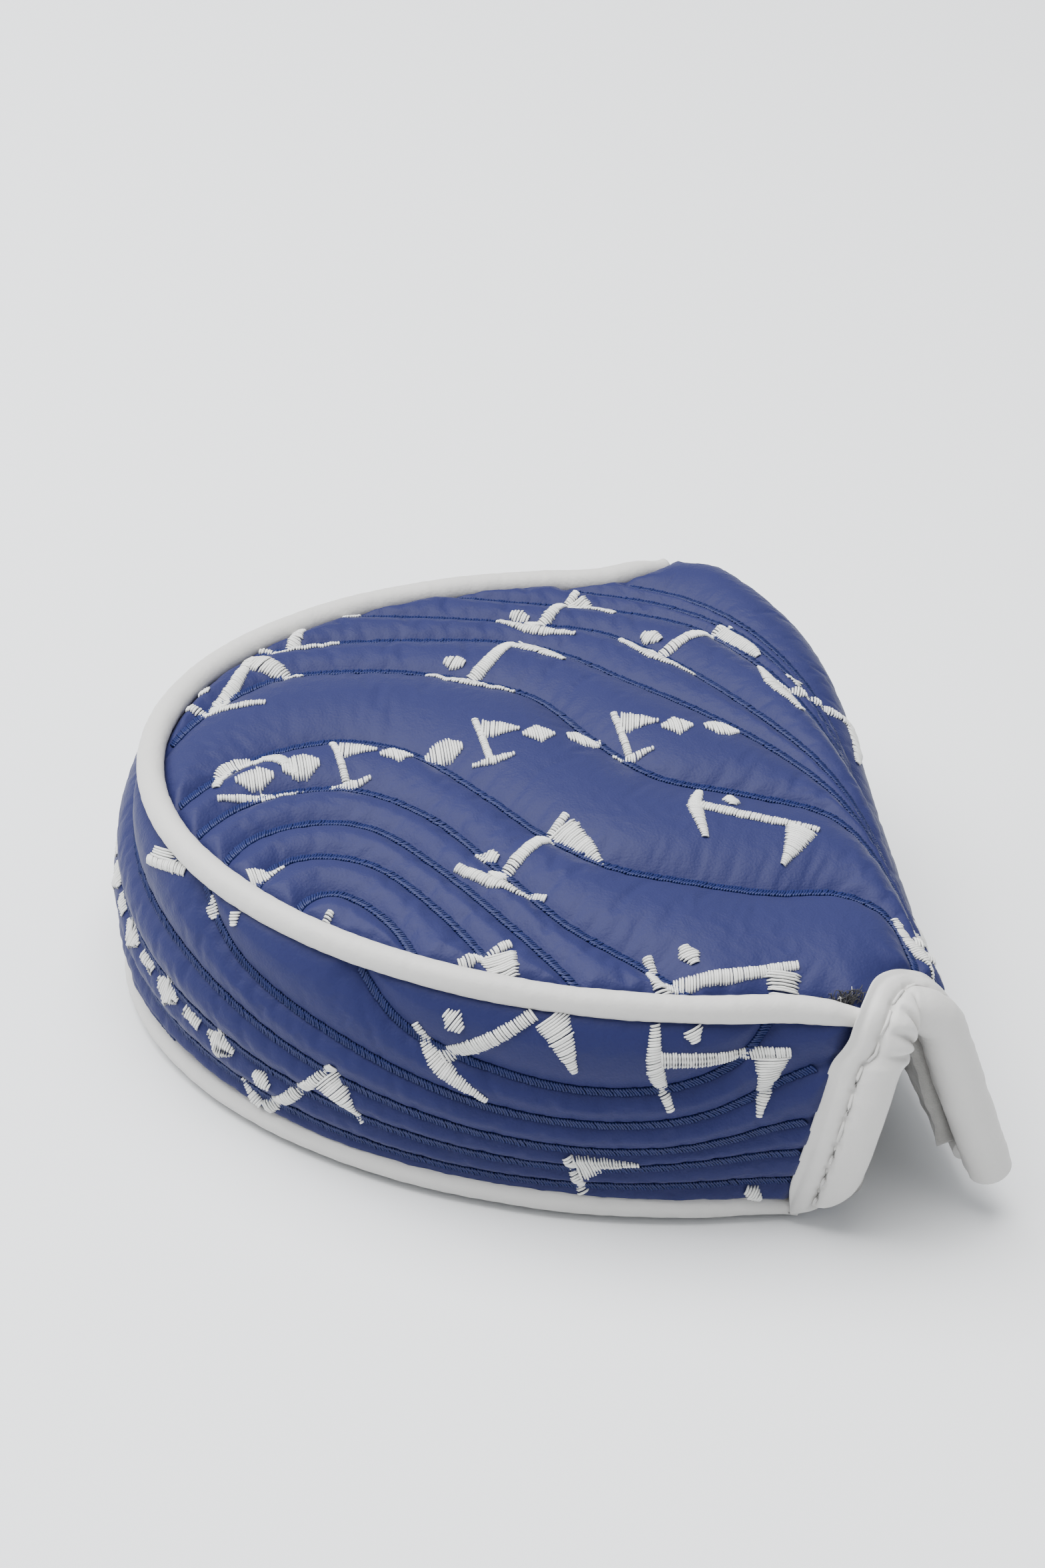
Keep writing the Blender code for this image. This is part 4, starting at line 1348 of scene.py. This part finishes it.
def plate_object(name, plan, heights, material, step=1.5):
    """A plate over a plan, finely divided, with its two faces at the heights given."""
    plan = np.array(plan, float)
    closed = even_line(np.vstack([plan, plan[:1]]), 0.9)[:-1]
    tree = Nearness(closed)
    low, high = closed.min(0), closed.max(0)
    x, y = np.meshgrid(np.arange(low[0], high[0], step), np.arange(low[1], high[1], step))
    inner = np.stack([x.ravel(), y.ravel()], 1)
    inner = inner[tree.distance(inner) > 0.8]
    count = len(closed)
    ring = [(i, (i + 1) % count) for i in range(count)]
    found = delaunay_2d_cdt([Vector(p) for p in np.vstack([closed, inner]).tolist()], ring, [], 1, 1e-4)
    flat = np.array([tuple(v) for v in found[0]])
    faces = [tuple(f) for f in found[2]]
    bottom, top = heights(flat[:, 0], flat[:, 1], tree.distance(flat))
    points = np.concatenate([np.column_stack([flat, top]), np.column_stack([flat, bottom])])
    total = len(flat)
    sides = set()
    for face in faces:
        for i in range(len(face)):
            sides.add((face[i], face[(i + 1) % len(face)]))
    rim = [(i, j) for i, j in sides if (j, i) not in sides]
    used = sorted({i for face in faces for i in face})
    renumber = {old: new for new, old in enumerate(used)}
    kept = np.array(used + [i + total for i in used])
    n = len(used)
    upper = [tuple(renumber[i] for i in face) for face in faces]
    lower = [tuple(renumber[i] + n for i in face[::-1]) for face in faces]
    walls = [(renumber[j], renumber[i], renumber[i] + n, renumber[j] + n) for i, j in sorted(rim)]
    return mesh_object(name, points[kept], upper + lower + walls, material)


class MakeUnderside(Operator):
    """Crown-side panel: flat padded leather that the cover rests on, with the shaft notch"""
    bl_idname = "head_cover.underside"
    bl_label = "Crown-side panel"

    def execute(self, context):
        def heights(x, y, to_edge):
            rolled = 1.5 * np.exp(-(to_edge / 1.6) ** 2)
            dents = 0.12 + 0.06 * soft_noise(x, y, 14.0, 61)
            return np.maximum(dents, 0.02) + rolled, np.full_like(x, FLOOR_TOP - LINING_THICK - 0.1)

        piece = plate_object("crown_side_panel", underside_plan(1.6, LIP_X + 0.4), heights,
                             finishes()["cover_leather"])
        on_body(piece, "pouch", "blue_leather", "bottom_panel", "bottom_padding")
        return {"FINISHED"}


class MakeLipBinding(Operator):
    """Binding along the front edge of the crown side and round the shaft notch, with its topstitch"""
    bl_idname = "head_cover.lip_binding"
    bl_label = "Lip binding"

    def execute(self, context):
        low, high = node_box("lip_binding")
        half_width = (LIP_EDGE_X - LIP_X) / 2
        front = LIP_EDGE_X - half_width
        notch = notch_edge(front, NOTCH_HALF + half_width, 4.0)
        line = even_line(np.array([(front, low[1] + 0.6)] + notch + [(front, high[1] - 0.6)]), LIP_STEP)
        line = smoothed(line, 5)
        run = line_directions(line)
        out = np.stack([run[:, 1], -run[:, 0]], 1)
        middle, tall = (low[2] + high[2]) / 2, (high[2] - low[2]) / 2
        angle = np.linspace(0, 2 * math.pi, 28, endpoint=False)
        s = np.arange(len(line))[:, None] * LIP_STEP
        wide = np.sign(np.cos(angle)) * np.abs(np.cos(angle)) ** 0.75 * half_width
        rise = np.sign(np.sin(angle)) * np.abs(np.sin(angle)) ** 0.75 * tall
        full = 1 + 0.02 * soft_noise(s, 0 * s + angle * 2, 9.0, 71)
        full = full + 0.012 * soft_noise(s, 0 * s + angle * 3, 2.2, 72)
        x = line[:, :1] + out[:, :1] * wide * full
        y = line[:, 1:] + out[:, 1:] * wide * full
        z = middle + rise * full + 0 * x
        rings = np.stack([x, y, z], -1)[:, ::-1]
        faces = ring_faces(*rings.shape[:2])
        piece = mesh_object("lip_binding_strip", rings, faces, finishes()["trim_leather"])
        on_body(piece, "pouch", "grey_leather", "lip_binding")
        part = np.array([0.06, 0.16, 0.5, 0.84, 0.94])
        drop = np.array([-0.4, 0.16, 0.28, 0.16, -0.4])
        pitch = sizes().topstitch_pitch
        threads = []
        for start in np.arange(pitch, len(line) * LIP_STEP - pitch, pitch):
            i = (start + pitch * part) / LIP_STEP
            place, side = rows_at(line, i), rows_at(out, i)
            height = middle + tall * 0.93 + drop
            threads.append(np.column_stack([place - side * 0.9, height]))
        on_pouch(topstitch("lip_topstitch", np.array(threads), LIP_THREAD_RADIUS), "white_thread")
        return {"FINISHED"}


FRAYED_PLACE = (30.0, -57.1)
FRAYED_RADIUS = 0.07


class MakeFittings(Operator):
    """Nickel finish of the two hidden magnets, and the frayed thread ends beside the heel binding"""
    bl_idname = "head_cover.fittings"
    bl_label = "Magnets and thread ends"

    def execute(self, context):
        for node in ("lip_magnet", "flap_magnet"):
            magnet = bpy.data.objects[node]
            magnet.data.materials.clear()
            magnet.data.materials.append(finishes()["magnet_nickel"])
        cover, _ = surfaces()
        rng = np.random.default_rng(9)
        for name, count, finish, slot in (("frayed_dark_ends", 120, "frayed_black", "blue_thread"),
                                          ("frayed_pale_ends", 5, "trim_thread", "white_thread")):
            threads = []
            for _ in range(count):
                start = np.array(FRAYED_PLACE) + rng.normal(0, (1.7, 0.35))
                turn = rng.uniform(0, math.pi)
                curl = rng.normal(0, 0.5)
                t = np.linspace(0, 1, 7)
                length = rng.uniform(0.8, 1.8)
                heading = np.stack([np.cos(turn + curl * t), 0.5 * np.sin(turn + curl * t)], 1)
                flat = start + heading * (t * length)[:, None]
                lift = 0.15 + 0.9 * rng.uniform(0.4, 1.2) * np.sin(t * rng.uniform(1.4, 2.8))
                threads.append(cover.points(flat[:, 0], flat[:, 1], lift)[0])
            piece = thread_tubes(name, np.array(threads), FRAYED_RADIUS, finishes()[finish], 4)
            on_body(piece, "pouch", slot)
        return {"FINISHED"}


# ---------------------------------------------------------------- stage

CAMERA_AZIMUTH = math.radians(-16.7)
CAMERA_ELEVATION = math.radians(31.71)
CAMERA_ROLL = math.radians(7.63)
CAMERA_DISTANCE = 675.34
CAMERA_TARGET = (-5.0, 0.0, 3.0)
CAMERA_SLIDE = (7.33, 27.9)
CAMERA_LENS = 105.0
SENSOR_WIDTH = 36.0
FLOOR_HALF = 3000.0
ROOM_LIGHT = 0.70


def area_light(name, place, aim, size, power, colour=(1.0, 1.0, 1.0)):
    light = bpy.data.lights.new(name, "AREA")
    light.shape = "RECTANGLE"
    light.size, light.size_y = size
    light.energy = power
    light.color = colour
    obj = bpy.data.objects.new(name, light)
    obj.location = place
    obj.rotation_euler = (Vector(aim) - Vector(place)).to_track_quat("-Z", "Y").to_euler()
    bpy.context.scene.collection.objects.link(obj)
    return obj


class MakeStage(Operator):
    """Pale floor, soft overhead light and the camera"""
    bl_idname = "head_cover.stage"
    bl_label = "Stage"

    def execute(self, context):
        floor_material = bpy.data.materials.new("pale_floor")
        floor_material.use_nodes = True
        shader = floor_material.node_tree.nodes["Principled BSDF"]
        shader.inputs["Base Color"].default_value = (0.86, 0.87, 0.88, 1.0)
        shader.inputs["Roughness"].default_value = 0.9
        shader.inputs["Specular IOR Level"].default_value = 0.15
        half = FLOOR_HALF
        points = ((-half, -half, 0), (half, -half, 0), (half, half, 0), (-half, half, 0))
        floor = mesh_object("floor", points, [(0, 1, 2, 3)], floor_material)
        world = bpy.data.worlds.new("pale_room")
        world.use_nodes = True
        world.node_tree.nodes["Background"].inputs["Color"].default_value = (0.93, 0.96, 1.0, 1.0)
        world.node_tree.nodes["Background"].inputs["Strength"].default_value = ROOM_LIGHT
        context.scene.world = world
        area_light("overhead", (-0.25, 0.10, 1.0), (0, 0, 0), (1.0, 1.0), 26.0)
        area_light("left_window", (-0.9, 0.35, 0.75), (0, 0, 0.02), (0.8, 0.8), 9.0, (0.96, 0.98, 1.0))
        area_light("front_fill", (0.5, -1.1, 0.55), (0, 0, 0.02), (0.9, 0.6), 0.4)

        across, tilt, roll = CAMERA_AZIMUTH, CAMERA_ELEVATION, CAMERA_ROLL
        level_share = math.cos(tilt)
        back = Vector((math.sin(across) * level_share, -math.cos(across) * level_share, math.sin(tilt)))
        level = Vector((math.cos(across), math.sin(across), 0.0))
        rise = back.cross(level)
        right = level * math.cos(roll) + rise * math.sin(roll)
        up = rise * math.cos(roll) - level * math.sin(roll)
        place = (Vector(CAMERA_TARGET) + back * CAMERA_DISTANCE + right * CAMERA_SLIDE[0]
                 + up * CAMERA_SLIDE[1])
        camera = bpy.data.cameras.new("camera")
        camera.lens = CAMERA_LENS
        camera.sensor_width = SENSOR_WIDTH
        obj = bpy.data.objects.new("camera", camera)
        obj.matrix_world = Matrix.Translation(place * MM) @ Matrix((right, up, back)).transposed().to_4x4()
        context.scene.collection.objects.link(obj)
        context.scene.camera = obj
        return {"FINISHED"}


# ---------------------------------------------------------------- running it all

PIECES = (MakeQuiltedCover, MakeSideBand, MakeCoverStitching, MakeBandStitching, MakePiping, MakeHeelBinding,
          MakeToeBinding, MakeLinings, MakeUnderside, MakeLipBinding, MakeFittings, MakeStage)


class HeadCoverPanel(Panel):
    """Buttons for every piece of the head cover"""
    bl_idname = "VIEW3D_PT_head_cover"
    bl_label = "Head Cover"
    bl_space_type = "VIEW_3D"
    bl_region_type = "UI"
    bl_category = "Head Cover"

    def draw(self, context):
        for group in (context.scene.head_cover_sizes, context.scene.head_cover_colours):
            for name in group.bl_rna.properties.keys():
                if name not in ("rna_type", "name"):
                    self.layout.prop(group, name)
        for piece in PIECES:
            self.layout.operator(piece.bl_idname)


CLASSES = (HeadCoverSizes, HeadCoverColours) + PIECES + (HeadCoverPanel,)


def register():
    for item in CLASSES:
        bpy.utils.register_class(item)
    bpy.types.Scene.head_cover_sizes = PointerProperty(type=HeadCoverSizes)
    bpy.types.Scene.head_cover_colours = PointerProperty(type=HeadCoverColours)


def unregister():
    del bpy.types.Scene.head_cover_colours
    del bpy.types.Scene.head_cover_sizes
    for item in reversed(CLASSES):
        bpy.utils.unregister_class(item)


def main():
    register()
    for piece in PIECES:
        group, name = piece.bl_idname.split(".")
        getattr(getattr(bpy.ops, group), name)()


if __name__ == "__main__":
    main()
